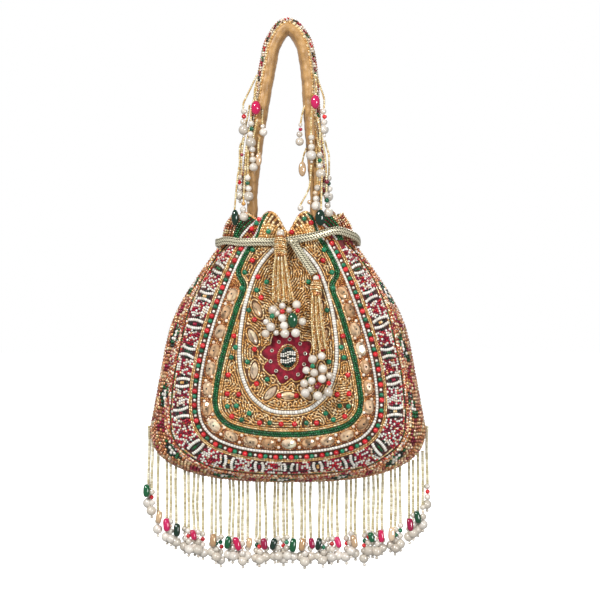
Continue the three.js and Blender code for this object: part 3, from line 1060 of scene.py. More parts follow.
@dataclass
class Embroidery:
    """The beads and stones on the front, and the same work turned round for the back."""

    pouch: Pouch
    seed: int = 7
    # Each line runs down the right half from its top to the middle of the bottom: x, z
    inner_white: tuple = (
        (12, -172), (20, -181), (26, -191), (31, -205), (35.5, -222), (38.5, -245), (38.5, -262),
        (35.5, -276), (29, -289), (18, -298.5), (8, -301.6), (0, -302),
    )
    green: tuple = (
        (26, -164), (31, -171), (36, -180), (39.5, -191), (35.2, -200), (37, -208), (41.5, -220), (47.5, -240),
        (53.5, -262), (57.5, -284), (58, -296), (55, -304.5), (47, -312), (33, -316.5), (15, -319), (0, -319.5),
    )
    outer_white: tuple = (
        (31, -165), (38, -178), (43.5, -190), (49, -203), (55, -219), (61, -237), (67, -260), (70.5, -282),
        (71, -299), (68, -311.5), (60, -321), (48, -327), (33, -331), (16, -333), (0, -333.5),
    )
    balls: tuple = (
        (34.5, -166), (41, -178), (46.5, -189.5), (52.3, -203), (58.2, -219), (64, -236), (70, -258.5), (73.7, -281),
        (74.2, -300), (71, -313.5), (62.5, -323.8), (50, -330.2), (34, -334.4), (16, -336.6), (0, -337.2),
    )
    dark: tuple = (
        (47, -166), (57, -178), (66, -192), (74, -208), (80.5, -226), (85.5, -248), (90, -270), (92.8, -292),
        (93.6, -308), (91.5, -321), (84, -332), (68, -342.5), (50, -347.5), (27, -350), (0, -351),
    )
    # Single beads on the right half: x, z
    red_dots: tuple = (
        (26, -228), (27, -251.5), (24.5, -279), (7, -288.5), (24, -194), (21, -210.5), (27.5, -181), (43.5, -241),
        (47.5, -272), (39, -287.5), (45, -305), (22.5, -310), (48.5, -287), (5.5, -311),
    )
    green_dots: tuple = (
        (31.5, -220.5), (32.5, -261.5), (16.8, -275.5), (16.8, -198), (24.5, -204.5), (28, -172.5), (34.5, -190.5),
        (44.5, -258), (48.5, -297), (30.5, -302.5), (36.5, -307.5), (14.5, -310), (41, -296.5), (42, -250), (36, -203),
    )
    # Pointed crystals on the right half: x, z, lean from upright in degrees
    crystals: tuple = ((24.5, -219.5, -24), (28, -241.5, -28), (27, -268.5, 6), (14, -286.5, 42), (0, -288.5, 88))
    crystal_size: tuple[float, float, float] = (13.0, 6.0, 2.6)
    dot_size: float = 4.3
    flower_z: float = -258.0
    flower_r: float = 20.6
    stone_step: float = 15.6
    stone_length: float = 11.6
    # A stone's greatest width, and what the band keeps beside it
    stone_widest: float = 8.2
    stone_room: float = 5.2
    # The copper rows under the stones: where the first and the last lie across the band, and how many there are
    stone_rows: tuple[float, float, int] = (0.27, 0.86, 6)
    stone_clear: float = 5.2
    line_pitch: float = 1.95
    # The gold lines: the grid they are traced on, and how often their pattern is evened out
    field_step: float = 0.5
    field_rounds: int = 9
    motif_step: float = 22.8
    # Where the mosaic starts outside the ball row, and how far short of the dark border it ends
    mosaic_ends: tuple[float, float] = (5.8, 2.4)
    mosaic_rows: int = 13
    mosaic_gap: float = 1.9
    border_rows: int = 20
    border_gap: float = 2.65
    ball_period: float = 11.9
    ball_edges: tuple[float, float] = (3.0, 4.5)
    # Each ball of a period: where it sits along the row, its tint, its width
    ball_kinds: tuple = ((1.2, Tint.BALL_RED, 4.2), (5.4, Tint.BALL_GREEN, 3.7), (8.9, Tint.WHITE, 2.3))
    # Each stroke of a striped motif: how far it is from the middle, its width, its tint
    strokes: tuple = (
        (-5.2, 2.0, Tint.BLACK), (-2.9, 3.1, Tint.WHITE), (0, 2.6, Tint.BLACK), (2.9, 3.1, Tint.WHITE),
        (5.2, 2.0, Tint.BLACK),
    )
    leaf_period: float = 46.0
    ruffle_rows: int = 73
    ruffle_reach: float = math.radians(89)
    # Up to this many degrees from the middle, the ruffle's rows are gold and each second one is short
    ruffle_gold: float = 31.0
    # Single balls on the ruffle: x, z, tint
    ruffle_balls: tuple = (
        (-28.8, -155, Tint.BALL_RED), (-21.6, -148, Tint.BALL_RED), (-24.6, -150.6, Tint.BALL_GREEN),
        (-15.4, -157, Tint.BALL_GREEN), (3.6, -157.6, Tint.BALL_RED), (13, -147, Tint.BALL_GREEN),
        (17.4, -150.4, Tint.BALL_RED), (20.6, -147.4, Tint.DEEP_GOLD),
    )
    clouds: dict[str, BeadCloud] = field(default_factory=dict)
    gems: list[tuple] = field(default_factory=list)
    rng: np.random.Generator = field(init=False)

    def __post_init__(self) -> None:
        """Sets the fixed seed and the empty bead clouds."""
        self.rng = np.random.default_rng(self.seed)
        self.clouds = {
            "gold_beads": BeadCloud(LINED, tube=True), "cut_beads": BeadCloud(OPAQUE, tube=True),
            "copper_beads": BeadCloud(LINED), "seed_beads": BeadCloud(OPAQUE),
            "round_beads": BeadCloud(OPAQUE, detail=2),
        }

    # ----- laying -----
    def lay(self, bead: tuple[str, Tint], spot: tuple[Array, Array], along: Array, size: tuple, lift: float) -> None:
        """Lays one bead on the cloth.

        Args:
            bead: its cloud and its tint.
            spot: its place on the cloth, and the way the cloth faces there.
            along: the way its hole runs.
            size: its length, width and height.
            lift: how far its middle is off the cloth.
        """
        place, normal = spot
        self.clouds[bead[0]].add(place + normal * lift, along, normal, size, bead[1].pick(self.rng))

    def ball(self, x: float, z: float, size: float, tint: Tint, lift: float) -> None:
        """Sews one ball on the front, if there is cloth at its x and z.

        Args:
            x: how far right it is.
            z: how high it is.
            size: its width.
            tint: its tint.
            lift: how far its middle is off the cloth.
        """
        spot = self.pouch.on_face(x, z)
        if spot is not None:
            self.lay(("round_beads", tint), spot, UP, (size, size, size), lift)

    def row(self, line: Array, stitch: Stitch, choose: Callable[[float, Array], BeadChoice] | None = None) -> None:
        """Sews a row of beads along a line on the cloth.

        Args:
            line: points on the cloth.
            stitch: how it is sewn.
            choose: gives the cloud and tint for a distance along and a place, or nothing, where they change.
        """
        marks = marks_along(line, stitch.pitch)
        if len(marks) < 3:
            return
        for k, (mark, tangent) in enumerate(marks):
            bead = choose(k * stitch.pitch, mark) if choose else (stitch.cloud, stitch.tint)
            if bead is None:
                continue
            length = stitch.pitch * stitch.fill * self.rng.uniform(0.94, 1.06)
            width = stitch.width * self.rng.uniform(0.92, 1.06)
            tall = stitch.height or stitch.width * 0.92
            self.lay(bead, self.pouch.nearest(mark), tangent, (length, width, tall), tall * 0.3)

    def lifted(self, flat: Array) -> Array:
        """Lays a line of x and z on the front's cloth."""
        found = [self.pouch.on_face(x, z) for x, z in flat]
        return np.array([f[0] for f in found if f is not None])

    def drawn(self, half: Sequence[tuple[float, float]]) -> Array:
        """Lays a line and its mirror image on the front's cloth."""
        return self.lifted(both_halves(half, 1.0))

    def moved_out(self, line: Array, distance: float) -> Array:
        """Moves a line on the cloth sideways, away from the flower, and keeps what is still on the front.

        Args:
            line: points on the cloth.
            distance: how far, in millimetres.

        Returns:
            The moved points.
        """
        moved = []
        for place, tangent in zip(line, np.gradient(line, axis=0)):
            side = np.cross(self.pouch.nearest(place)[1], tangent)
            side /= max(np.linalg.norm(side), 1e-9)
            if side @ (place - np.array([0.0, place[1], MIDDLE_Z])) < 0:
                side = -side
            moved.append(self.pouch.nearest(place + side * distance)[0])
        return np.array(moved)

    # ----- the field of gold lines -----
    def clearance(self, x: Array, z: Array) -> tuple[Array, Array]:
        """Gives how far places in the middle are from its edges and stones, and from those and the single beads.

        Args:
            x: how far right each point is.
            z: how high it is.

        Returns:
            The two arrays of distances.
        """
        green, white = (both_halves(half, 0.8) for half in (self.green, self.inner_white))
        edges = np.minimum(away_from(green, x, z) - 3.4, away_from(white, x, z) - 1.6)
        petals = Flower.petal_edge(np.arctan2(z - self.flower_z, x), self.flower_r)
        edges = np.minimum(edges, np.hypot(x, z - self.flower_z) - petals - 0.2)
        for a, b, lean in self.crystal_places():
            turn = math.radians(lean)
            u = (x - a) * math.cos(turn) + (z - b) * math.sin(turn)
            v = -(x - a) * math.sin(turn) + (z - b) * math.cos(turn)
            edges = np.minimum(edges, (np.hypot(u / 3.3, v / 7.0) - 1) * 4.4)
        edges = np.where(inside(green, x, z), edges, -1.0)
        every = edges
        for a, b in self.red_dots + self.green_dots:
            every = np.minimum(every, np.hypot(np.abs(x) - a, z - b) - 1.5)
        return edges, every

    def gold_field(self) -> None:
        """Fills the middle with gold lines one pitch apart, which follow every edge and curl between them."""
        step, pitch = self.field_step, self.line_pitch
        x_axis, z_axis = np.arange(-64, 64, step), np.arange(-328, -160, step)
        x, z = np.meshgrid(x_axis, z_axis, indexing="ij")
        gap, every = self.clearance(x, z)
        followed = gap < 1.5 * pitch
        echo = np.cos(math.pi * gap / pitch)
        turns = [np.fft.fftfreq(len(axis), step) for axis in (x_axis, z_axis)]
        band = np.exp(-(((np.hypot(*np.meshgrid(*turns, indexing="ij")) * 2 * pitch - 1) / 0.2) ** 2))
        wave = self.rng.normal(0, 1, x.shape)
        for _ in range(self.field_rounds):
            wave = np.real(np.fft.ifft2(np.fft.fft2(wave) * band))
            wave = np.clip(wave / max(wave.std(), 1e-9) * 1.6, -1, 1)
            wave[followed] = echo[followed]
        for line in level_lines(wave, x_axis, z_axis):
            line[1:-1] = (line[:-2] + 2 * line[1:-1] + line[2:]) / 4
            cells = np.round((line - (x_axis[0], z_axis[0])) / step).astype(int)
            keep = every[cells[:, 0], cells[:, 1]] > 0.35 * pitch
            for run in np.split(np.arange(len(line)), np.flatnonzero(np.diff(keep.astype(int))) + 1):
                if keep[run[0]] and len(run) > 7:
                    flat = self.lifted(line[run])
                    if len(flat) > 4:
                        self.row(flat, FIELD_LINE)

    def crystal_places(self) -> list[tuple[float, float, float]]:
        """Gives every pointed crystal's x, z and lean, on both halves.

        Returns:
            The places.
        """
        pairs = [((x, z, lean), (-x, z, -lean)) for x, z, lean in self.crystals]
        return [place for pair in pairs for place in (pair if pair[0][0] else pair[:1])]

    # ----- lines and bands -----
    def lines(self) -> None:
        """Sews the white, green and gold lines round the middle."""
        self.row(self.drawn(self.inner_white), INNER_WHITE_LINE)
        green = self.drawn(self.green)
        for distance, stitch in ((-0.95, GREEN_LINE), (0.95, GREEN_LINE), (-2.9, GREEN_EDGE), (2.9, GREEN_EDGE)):
            self.row(self.moved_out(green, distance), stitch)
        self.row(self.drawn(self.outer_white), OUTER_WHITE_LINE)

    def stone_band(self) -> None:
        """Sews copper rows between the green line and the outer white one, with agates in beaded settings on them."""
        sides = []
        for half, top in ((self.green, -190), (self.outer_white, -188)):
            side = both_halves([p for p in half if p[1] < top], 1.0)
            shares = np.linspace(0, 1, 260), np.linspace(0, 1, len(side))
            sides.append(np.stack([np.interp(*shares, column) for column in side.T], axis=1))
        near, far = sides
        middle = near * 0.48 + far * 0.52
        run = distances(middle)
        half_count = int((run[-1] / 2 - 6) // self.stone_step)
        places = []
        for k in range(-half_count, half_count + 1):
            i = int(np.clip(np.searchsorted(run, run[-1] / 2 + k * self.stone_step), 1, len(middle) - 2))
            places.append((middle[i], middle[i + 1] - middle[i - 1], float(np.hypot(*(far[i] - near[i])))))
        for share in np.linspace(*self.stone_rows):
            line = self.lifted(even_steps(near * (1 - share) + far * share, 1.0))
            self.row(line, STONE_GROUND, partial(self.unless_stone, places))
        for k, (centre, way, across) in enumerate(places):
            length, width = self.stone_length, min(self.stone_widest, across - self.stone_room)
            spot = self.pouch.on_face(*centre)
            if spot is None or width < 3.5:
                continue
            along = np.array([way[0], 0.0, way[1]])
            self.gems.append((*spot, along, length, width, 3.0, False, Tint.AGATE.pick(self.rng)))
            self.lay(("round_beads", Tint.BLACK), spot, along, (1.5, 1.5, 0.9), 3.0)
            self.ring(spot, along, length / 2 + 0.9, width / 2 + 0.9)
            if k:
                between = (centre + places[k - 1][0]) / 2
                outward = (far - near)[int(np.argmin(np.hypot(*(middle - between).T)))]
                for side in (-1, 1):
                    spot = self.pouch.on_face(*(between + outward / np.hypot(*outward) * side * 2.9))
                    if spot is not None:
                        self.lay(("round_beads", Tint.PALE), spot, along, (2.5, 2.5, 2.2), 1.2)

    def unless_stone(self, stones: list, _: float, place: Array) -> BeadChoice:
        """Gives a bead of the stones' ground, unless a stone sits there.

        Args:
            stones: their places.
            _: the distance along the row.
            place: the bead's place.

        Returns:
            Its cloud and tint, or nothing.
        """
        clear = all(math.hypot(place[0] - x, place[2] - z) >= self.stone_clear for (x, z), _, _ in stones)
        return (STONE_GROUND.cloud, STONE_GROUND.tint) if clear else None

    def ring(self, spot: tuple[Array, Array], along: Array, long: float, wide: float) -> None:
        """Sews an oval ring of beads round a stone.

        Args:
            spot: the stone's place, and the way it faces.
            along: the way it lies.
            long: half the ring's length.
            wide: half its width.
        """
        place, normal = spot
        first = unit(along - normal * (along @ normal))
        second = np.cross(normal, first)
        angles = np.linspace(0, math.tau, 90)
        line = np.array([place + first * long * math.cos(a) + second * wide * math.sin(a) for a in angles])
        self.row(line, STONE_SETTING)

    def ball_row(self) -> None:
        """Sews the row of red and green balls with white beads between, and two gold lines outside it."""
        line = self.drawn(self.balls)
        marks = marks_along(line, 1.0)
        middle = len(marks) // 2
        for k, (mark, tangent) in enumerate(marks):
            for at, tint, size in self.ball_kinds:
                if 0 <= (k - middle) % self.ball_period - at < 1:
                    spot = self.pouch.nearest(mark)
                    self.lay(("round_beads", tint), spot, tangent, (size, size, size), size * 0.34)
        for distance in self.ball_edges:
            self.row(self.moved_out(line, distance), BALL_EDGE)

    def motif_frames(self) -> list[tuple[Array, Array, Array, float]]:
        """Gives each striped motif's place on the ball row, the ways along and outwards there, and the room outwards.

        Returns:
            The four values of each.
        """
        marks = marks_along(both_halves(self.balls, 1.0), 1.0)
        limit = both_halves(self.dark, 1.0)
        count = int(len(marks) / 2 // self.motif_step)
        frames = []
        for k in range(-count, count + 1):
            i = int(len(marks) / 2 + k * self.motif_step)
            if not 6 < i < len(marks) - 6:
                continue
            mark, along = marks[i][0], unit(marks[i][1])
            out = np.array([along[1], -along[0]])
            out *= np.sign(out @ (mark - np.array([0.0, MIDDLE_Z])))
            frames.append((mark, along, out, float(np.hypot(*(limit - mark).T).min())))
        return frames

    def mosaic_bead(self, frames: list, limit: Array, _: float, place: Array) -> BeadChoice:
        """Keeps the seeds off the motifs, and mixes maroon and white between them.

        Args:
            frames: the motifs.
            limit: the dark border's line.
            _: the distance along the row.
            place: the seed's place.

        Returns:
            The seed's cloud and tint, or nothing.
        """
        last = self.mosaic_ends[1]
        spot = seen(place)
        if np.hypot(*(limit - spot).T).min() < (last if place[1] < -25 else 0.9) or place[2] > -170:
            return None
        for centre, along, out, room in frames:
            u, w = (spot - centre) @ along, (spot - centre) @ out
            if abs(u) < 5.4 and w < room - last + 1.0 and abs(w) < 24:
                return None
        dice = self.rng.random()
        if dice < 0.45:
            return "seed_beads", Tint.WHITE if dice < 0.34 else Tint.PALE
        if dice < 0.5:
            return "copper_beads", Tint.COPPER
        return "seed_beads", Tint.MAROON if dice < 0.84 else Tint.CHERRY

    def mosaic_band(self) -> None:
        """Fills the band outside the balls with maroon and white seeds, and sews the striped motifs across it."""
        frames = self.motif_frames()
        choose = partial(self.mosaic_bead, frames, both_halves(self.dark, 1.0))
        first, last = self.mosaic_ends
        line = self.moved_out(self.drawn(self.balls), first)
        for _ in range(self.mosaic_rows):
            self.row(line, MOSAIC, choose)
            line = self.moved_out(line, self.mosaic_gap)
            line = line[line[:, 1] < -1.0]
        for k, (centre, along, out, room) in enumerate(frames):
            reach = room - last
            # Two thick white strokes that bow towards or away from each other, with black between and beside them
            for u, width, tint in self.strokes:
                white = tint is Tint.WHITE
                inset = 0.0 if white else (reach - first) * (0.3 if u else 0.14)
                for w in np.arange(first + inset, reach - inset + 0.1, 1.5):
                    share = 2 * (w - first) / max(reach - first, 1) - 1
                    bow = u * (1 + (0.34 if k % 2 else -0.3) * (share**2 - 0.5))
                    spot = self.pouch.on_face(
                        *(centre + along * (bow + (0.12 if k % 3 else -0.1) * (w - first)) + out * w)
                    )
                    if spot is None or spot[0][1] > -1.0:
                        continue
                    bead = tint if u or abs(share) > 0.35 else (Tint.GREEN, Tint.GOLD, Tint.MAROON)[k % 3]
                    size, lift = (2.2, width, 2.6 if white else 1.8), 0.8 if white else 0.6
                    self.lay(("seed_beads", bead), spot, np.array([out[0], 0.0, out[1]]), size, lift)

    def leaf_bead(self, row: int, begin: float, half: float, s: float, place: Array) -> BeadChoice:
        """Chooses a bead of the border: green leaves with white hearts on copper, and maroon dots between them.

        Args:
            row: how many rows it is from the dark one.
            begin: where its run starts along the row.
            half: half the row's length.
            s: the distance along the run.
            place: the bead's place.

        Returns:
            Its cloud and tint, or nothing above the drawstring.
        """
        if place[2] > -167.5:
            return None
        beside = (begin + s - half + self.leaf_period / 2) % self.leaf_period - self.leaf_period / 2
        reach = abs(beside) / 10.5 + abs(row - 2.3) / 2.1
        if reach < 0.5:
            return "seed_beads", Tint.WHITE
        if reach < 1.05:
            return "seed_beads", Tint.GREEN if self.rng.random() < 0.6 else Tint.BLACK
        if abs(abs(beside) - self.leaf_period / 2) < 3.0 and 2 <= row <= 4:
            return "seed_beads", Tint.MAROON
        dice = self.rng.random()
        if dice < 0.04:
            return "seed_beads", Tint.MAROON
        return "copper_beads", Tint.STRAND if dice < 0.18 else Tint.ROSE if dice < 0.38 else Tint.COPPER

    def border(self) -> None:
        """Sews the dotted and dark rows, and copper rows from them out to the side seam, with green leaves on them."""
        dark = self.drawn(self.dark)
        dots = (Tint.BLACK, Tint.BLACK, Tint.GREEN, Tint.MAROON)
        self.row(self.moved_out(dark, -1.4), BORDER_IN)
        self.row(self.moved_out(dark, -0.1), BORDER_DOTS, lambda s, p: ("seed_beads", dots[int(s / 3.9) % 4]))
        self.row(self.moved_out(dark, 1.2), BORDER_OUT)
        line = self.moved_out(dark, 2.6)
        half = len(even_steps(line, 1.0)) / 2
        for r in range(self.border_rows):
            runs = self.front_runs(line)
            if not runs:
                break
            for begin, run in runs:
                self.row(run, BORDER, partial(self.leaf_bead, r, begin, half))
            line = self.moved_out(line, self.border_gap)
        for turn in (math.radians(-89.3), math.radians(89.3)):
            seam = self.pouch.grid(self.pouch.cloth_inset, turn, turn, 1)[13:, 0]
            self.row(even_steps(seam, 1.0), SEAM)

    @staticmethod
    def front_runs(line: Array) -> list[tuple[float, Array]]:
        """Splits a line into the runs that are still short of the seam, each with its distance along.

        Args:
            line: points on the cloth.

        Returns:
            The distance and the points of each run.
        """
        kept = np.flatnonzero(line[:, 1] < -1.1)
        runs = np.split(kept, np.flatnonzero(np.diff(kept) > 1) + 1)
        return [(float(run[0]), line[run]) for run in runs if len(run) > 4]

    def ruffle_bead(self, away: float, _: float, __: Array) -> BeadChoice:
        """Picks the bead of the line below that a row of the ruffle carries on, by its degrees from the middle.

        Args:
            away: the row's degrees from the middle.
            _: the distance along it.
            __: the bead's place.

        Returns:
            The bead's cloud and tint.
        """
        dice = self.rng.random()
        for limit, cloud, tint in (
            (self.ruffle_gold, "gold_beads", Tint.GOLD), (37.5, "seed_beads", Tint.GREEN),
            (41.5, "seed_beads", Tint.WHITE), (47, "copper_beads", Tint.DEEP_GOLD if dice < 0.7 else Tint.MAROON),
            (51, "seed_beads", Tint.WHITE), (57, "seed_beads", Tint.GREEN),
        ):
            if away < limit:
                return cloud, tint
        return "copper_beads", Tint.STRAND if dice < 0.25 else Tint.ROSE if dice < 0.45 else Tint.COPPER

    def ruffle(self) -> None:
        """Sews rows on the ruffle above the drawstring, which carry the lines below on to the rim."""
        pouch, reach = self.pouch, self.ruffle_reach
        climb = np.linspace(0, 1, 14)
        for k, turn in enumerate(np.linspace(-reach, reach, self.ruffle_rows)):
            away = abs(math.degrees(turn))
            turns = turn * (1 - 0.5 * climb * math.cos(turn) ** 2)
            low = pouch.neck_z + 2.0
            line = pouch.point(low + climb * (pouch.rim(turns) - 0.6 - low), turns, pouch.cloth_inset)
            if k % 2 and away < self.ruffle_gold:
                line = line[:8]
            self.row(line, RUFFLE_MIDDLE if away < self.ruffle_gold else RUFFLE_SIDE, partial(self.ruffle_bead, away))
        turns = np.linspace(-reach, reach, 240)
        rim = pouch.point(pouch.rim(turns), turns, pouch.cloth_inset)
        self.row(rim, RUFFLE_RIM, lambda s, p: ("gold_beads", Tint.GOLD if int(s / 2) % 4 else Tint.COPPER))
        for x, z, tint in self.ruffle_balls:
            self.ball(x, z, 4.2, tint, 2.0)

    def dots_and_crystals(self) -> None:
        """Sews the single red and green balls, and the pointed crystals round the flower."""
        for spots, tint in ((self.red_dots, Tint.BALL_RED), (self.green_dots, Tint.BALL_GREEN)):
            for x, z in spots:
                for side in (-1, 1):
                    self.ball(side * x + self.rng.uniform(-0.6, 0.6), z, self.dot_size, tint, 1.6)
        for x, z, lean in self.crystal_places():
            spot = self.pouch.on_face(x, z)
            if spot is not None:
                turn = math.radians(lean)
                along = np.array([-math.sin(turn), 0.0, math.cos(turn)])
                self.gems.append((*spot, along, *self.crystal_size, True, Tint.CHAMPAGNE.pick(self.rng)))

    def sew(self) -> None:
        """Sews everything on the front."""
        self.gold_field()
        self.lines()
        self.stone_band()
        self.ball_row()
        self.mosaic_band()
        self.border()
        self.ruffle()
        self.dots_and_crystals()

    # ----- cloth colour and stones -----
    def cloth_tints(self, x: Array, z: Array) -> Array:
        """Colours the cloth under the beads, band by band, so that gaps show what is round them, with painted shade
        deepening it under the gold field.

        Args:
            x: how far right each point is.
            z: how high it is.

        Returns:
            A linear colour for each.
        """
        tints = np.tile(linear("#6E4420"), (len(x), 1))
        tints[(z > -176) & (np.abs(x) > 27)] = linear("#7C1228")
        # Inside the green line the brown is darker: the cloth's own colour, deepened as painted shade in the gaps
        # between the gold lines
        for half, colour in ((self.dark, "#4C0E1A"), (self.balls, "#5A2E12"), (self.green, "#56300F")):
            tints[inside(both_halves(half, 4.0), x, z) & ((z < -190) | (half is self.green))] = linear(colour)
        return tints

    def stones(self, name: str, back: bool) -> Piece:
        """Cuts every stone and crystal, as one piece, with painted glints and painted shade on their facets.

        Args:
            name: the piece's name.
            back: whether it is for the back panel.

        Returns:
            The stones.
        """
        points, faces, tints = [], [], []
        painted_glint_rng = np.random.default_rng(self.seed + 1)
        corners = 10
        for place, normal, along, length, width, height, pointed, colour in self.gems:
            first = unit(along - normal * (along @ normal))
            second = np.cross(normal, first)
            start = len(points)
            # Each level of the cut: how much of the outline it keeps, and its height
            levels = ((0.82, -0.3), (1.0, height * 0.3), (0.82, height * 0.72), (0.46, height))
            for scale, level in levels:
                across = scale**3 if pointed and level > 1.0 else scale
                for c, s in circle(corners):
                    c, s = blunt(c, 1.0 if pointed else 0.7), s * (abs(s) ** 0.45 if pointed else 1.0)
                    flat = first * c * length / 2 * scale + second * s * width / 2 * across
                    points.append(place + flat + normal * level)
            for level in range(len(levels) - 1):
                for k in range(corners):
                    a, b = start + level * corners + k, start + level * corners + (k + 1) % corners
                    faces.append((a, b, b + corners, a + corners))
            faces.append(tuple(range(start, start + corners))[::-1])
            faces.append(tuple(range(len(points) - corners, len(points))))
            # Each corner's colour is lightened or darkened at random, from 0.35 to 1.6 times: painted glints and
            # painted shade on the facets
            for _ in range(len(levels) * corners):
                clear = float(painted_glint_rng.choice([0.35, 0.75, 1.0, 1.2, 1.6]))
                tints.append([min(c * clear, 1.0) for c in colour[:3]] + [1.0])
        points = np.array(points) * (TO_BACK if back else 1.0)
        return piece_from(name, points, faces, [STONE], smooth=False, tints=np.array(tints))


# ---------- flower patches ----------
@dataclass
class Flower:
    """The velvet flower in the middle of a panel, with its eyelets and its bead button."""

    pouch: Pouch
    centre_z: float = -258.0
    radius: float = 20.6
    button_half: tuple[float, float] = (7.6, 9.6)
    eyelet_r: float = 1.15
    seed: int = 11

    def place(self, x: float, z: float, lift: float) -> Array:
        """Gives a place a little off the front's cloth.

        Args:
            x: how far right it is.
            z: how high it is.
            lift: how far off.

        Returns:
            The place.
        """
        found = self.pouch.on_face(x, z)
        spot, normal = found if found is not None else (np.array([x, 0.0, z]), FORWARD)
        return spot + normal * lift

    @staticmethod
    def petal_edge(angle: Array | float, radius: float) -> Array | float:
        """Gives the flower's radius at an angle: eight petals, each a little pointed, with a notch between them."""
        lobe = np.abs(np.cos(4 * (angle + 0.25)))
        return radius * (0.75 + 0.25 * lobe**0.8 + 0.03 * np.sin(13 * angle))

    def velvet(self, name: str, back: bool) -> Piece:
        """Makes the padded velvet petals.

        Args:
            name: the piece's name.
            back: whether it is for the back panel.

        Returns:
            The flower.
        """
        spokes, rings = 96, 9
        points, faces = [self.place(0, self.centre_z, 2.6)], []
        for r in range(1, rings + 1):
            share = r / rings
            for k in range(spokes):
                angle = math.tau * k / spokes
                valley = 1 - abs(math.cos(4 * (angle + 0.25)))
                reach = float(self.petal_edge(angle, self.radius)) * share
                lift = 1.0 + 1.9 * (1 - share**3.5) - 1.3 * valley**2 * share * (1 - share**4)
                points.append(self.place(reach * math.cos(angle), self.centre_z + reach * math.sin(angle), lift))
        for k in range(spokes):
            angle = math.tau * k / spokes
            reach = float(self.petal_edge(angle, self.radius)) * 0.995
            points.append(self.place(reach * math.cos(angle), self.centre_z + reach * math.sin(angle), 0.1))
        points.append(self.place(0, self.centre_z, 0.1))
        last = len(points) - 1
        for k in range(spokes):
            n = (k + 1) % spokes
            faces.append((0, 1 + n, 1 + k)[::-1])
            for r in range(rings):
                a, b = 1 + r * spokes, 1 + (r + 1) * spokes
                faces.append((a + k, b + k, b + n, a + n))
            faces.append((last, 1 + rings * spokes + n, 1 + rings * spokes + k))
        points = np.array(points) * (TO_BACK if back else 1.0)
        return piece_from(name, points, faces, [VELVET])

    def trim(self, name: str, back: bool) -> Piece:
        """Sews the eyelets on the petals and the striped button in their middle.

        Args:
            name: the piece's name.
            back: whether it is for the back panel.

        Returns:
            The eyelets and the button.
        """
        rng = np.random.default_rng(self.seed)
        balls = Balls()
        for c, s in circle(10, 0.35):
            reach = self.radius * rng.uniform(0.66, 0.8)
            x, z = reach * c, self.centre_z + reach * s
            out = self.pouch.on_face(x, z)[1]
            for u, v in circle(7):
                spot = self.place(x + self.eyelet_r * u, z + self.eyelet_r * v, 2.5)
                balls.add(spot, (0.55, 0.55, 0.55), Tint.SILVER.pick(rng), LINED, 1, out)
            balls.add(self.place(x, z, 2.4), (0.5, 0.75, 0.75), Tint.BLACK.pick(rng), OPAQUE, 1, out)
        wide, tall = self.button_half
        balls.add(self.place(0, self.centre_z, 2.2), (wide - 0.4, 1.9, tall - 0.4), Tint.BLACK.pick(rng), OPAQUE, 3)
        row_pitch, bead_pitch = 1.78, 1.75
        for row in range(-5, 6):
            z = row * row_pitch
            half = (wide - 0.9) * math.sqrt(max(1 - (z / (tall - 0.4)) ** 2, 0))
            count = int(half * 2 / 1.7)
            for k in range(count):
                x = (k - (count - 1) / 2) * bead_pitch
                wave = z + 0.5 * math.sin(x * 0.7 + row / 2) + 0.14 * x
                stripe = Tint.WHITE if abs(row) in (1, 2) else Tint.EMERALD if abs(row) > 3 else Tint.BLACK
                if row == 0 and k == count // 2:
                    stripe = Tint.PALE
                dome = 3.4 + 1.1 * math.sqrt(max(1 - (x / wide) ** 2 - (z / tall) ** 2, 0))
                spot = self.place(x, self.centre_z + wave, dome)
                balls.add(spot, (0.88, 0.82, 0.85), stripe.pick(rng), OPAQUE, 1)
        for step, tint in ((0.4, Tint.GOLD), (-0.9, Tint.DEEP_GOLD)):
            for c, s in circle(40):
                spot = self.place((wide + step) * c, self.centre_z + (tall + step) * s, 3.2 - step * 0.4)
                balls.add(spot, (0.75, 0.7, 0.7), tint.pick(rng), LINED, 1)
        return balls.build(name, back)


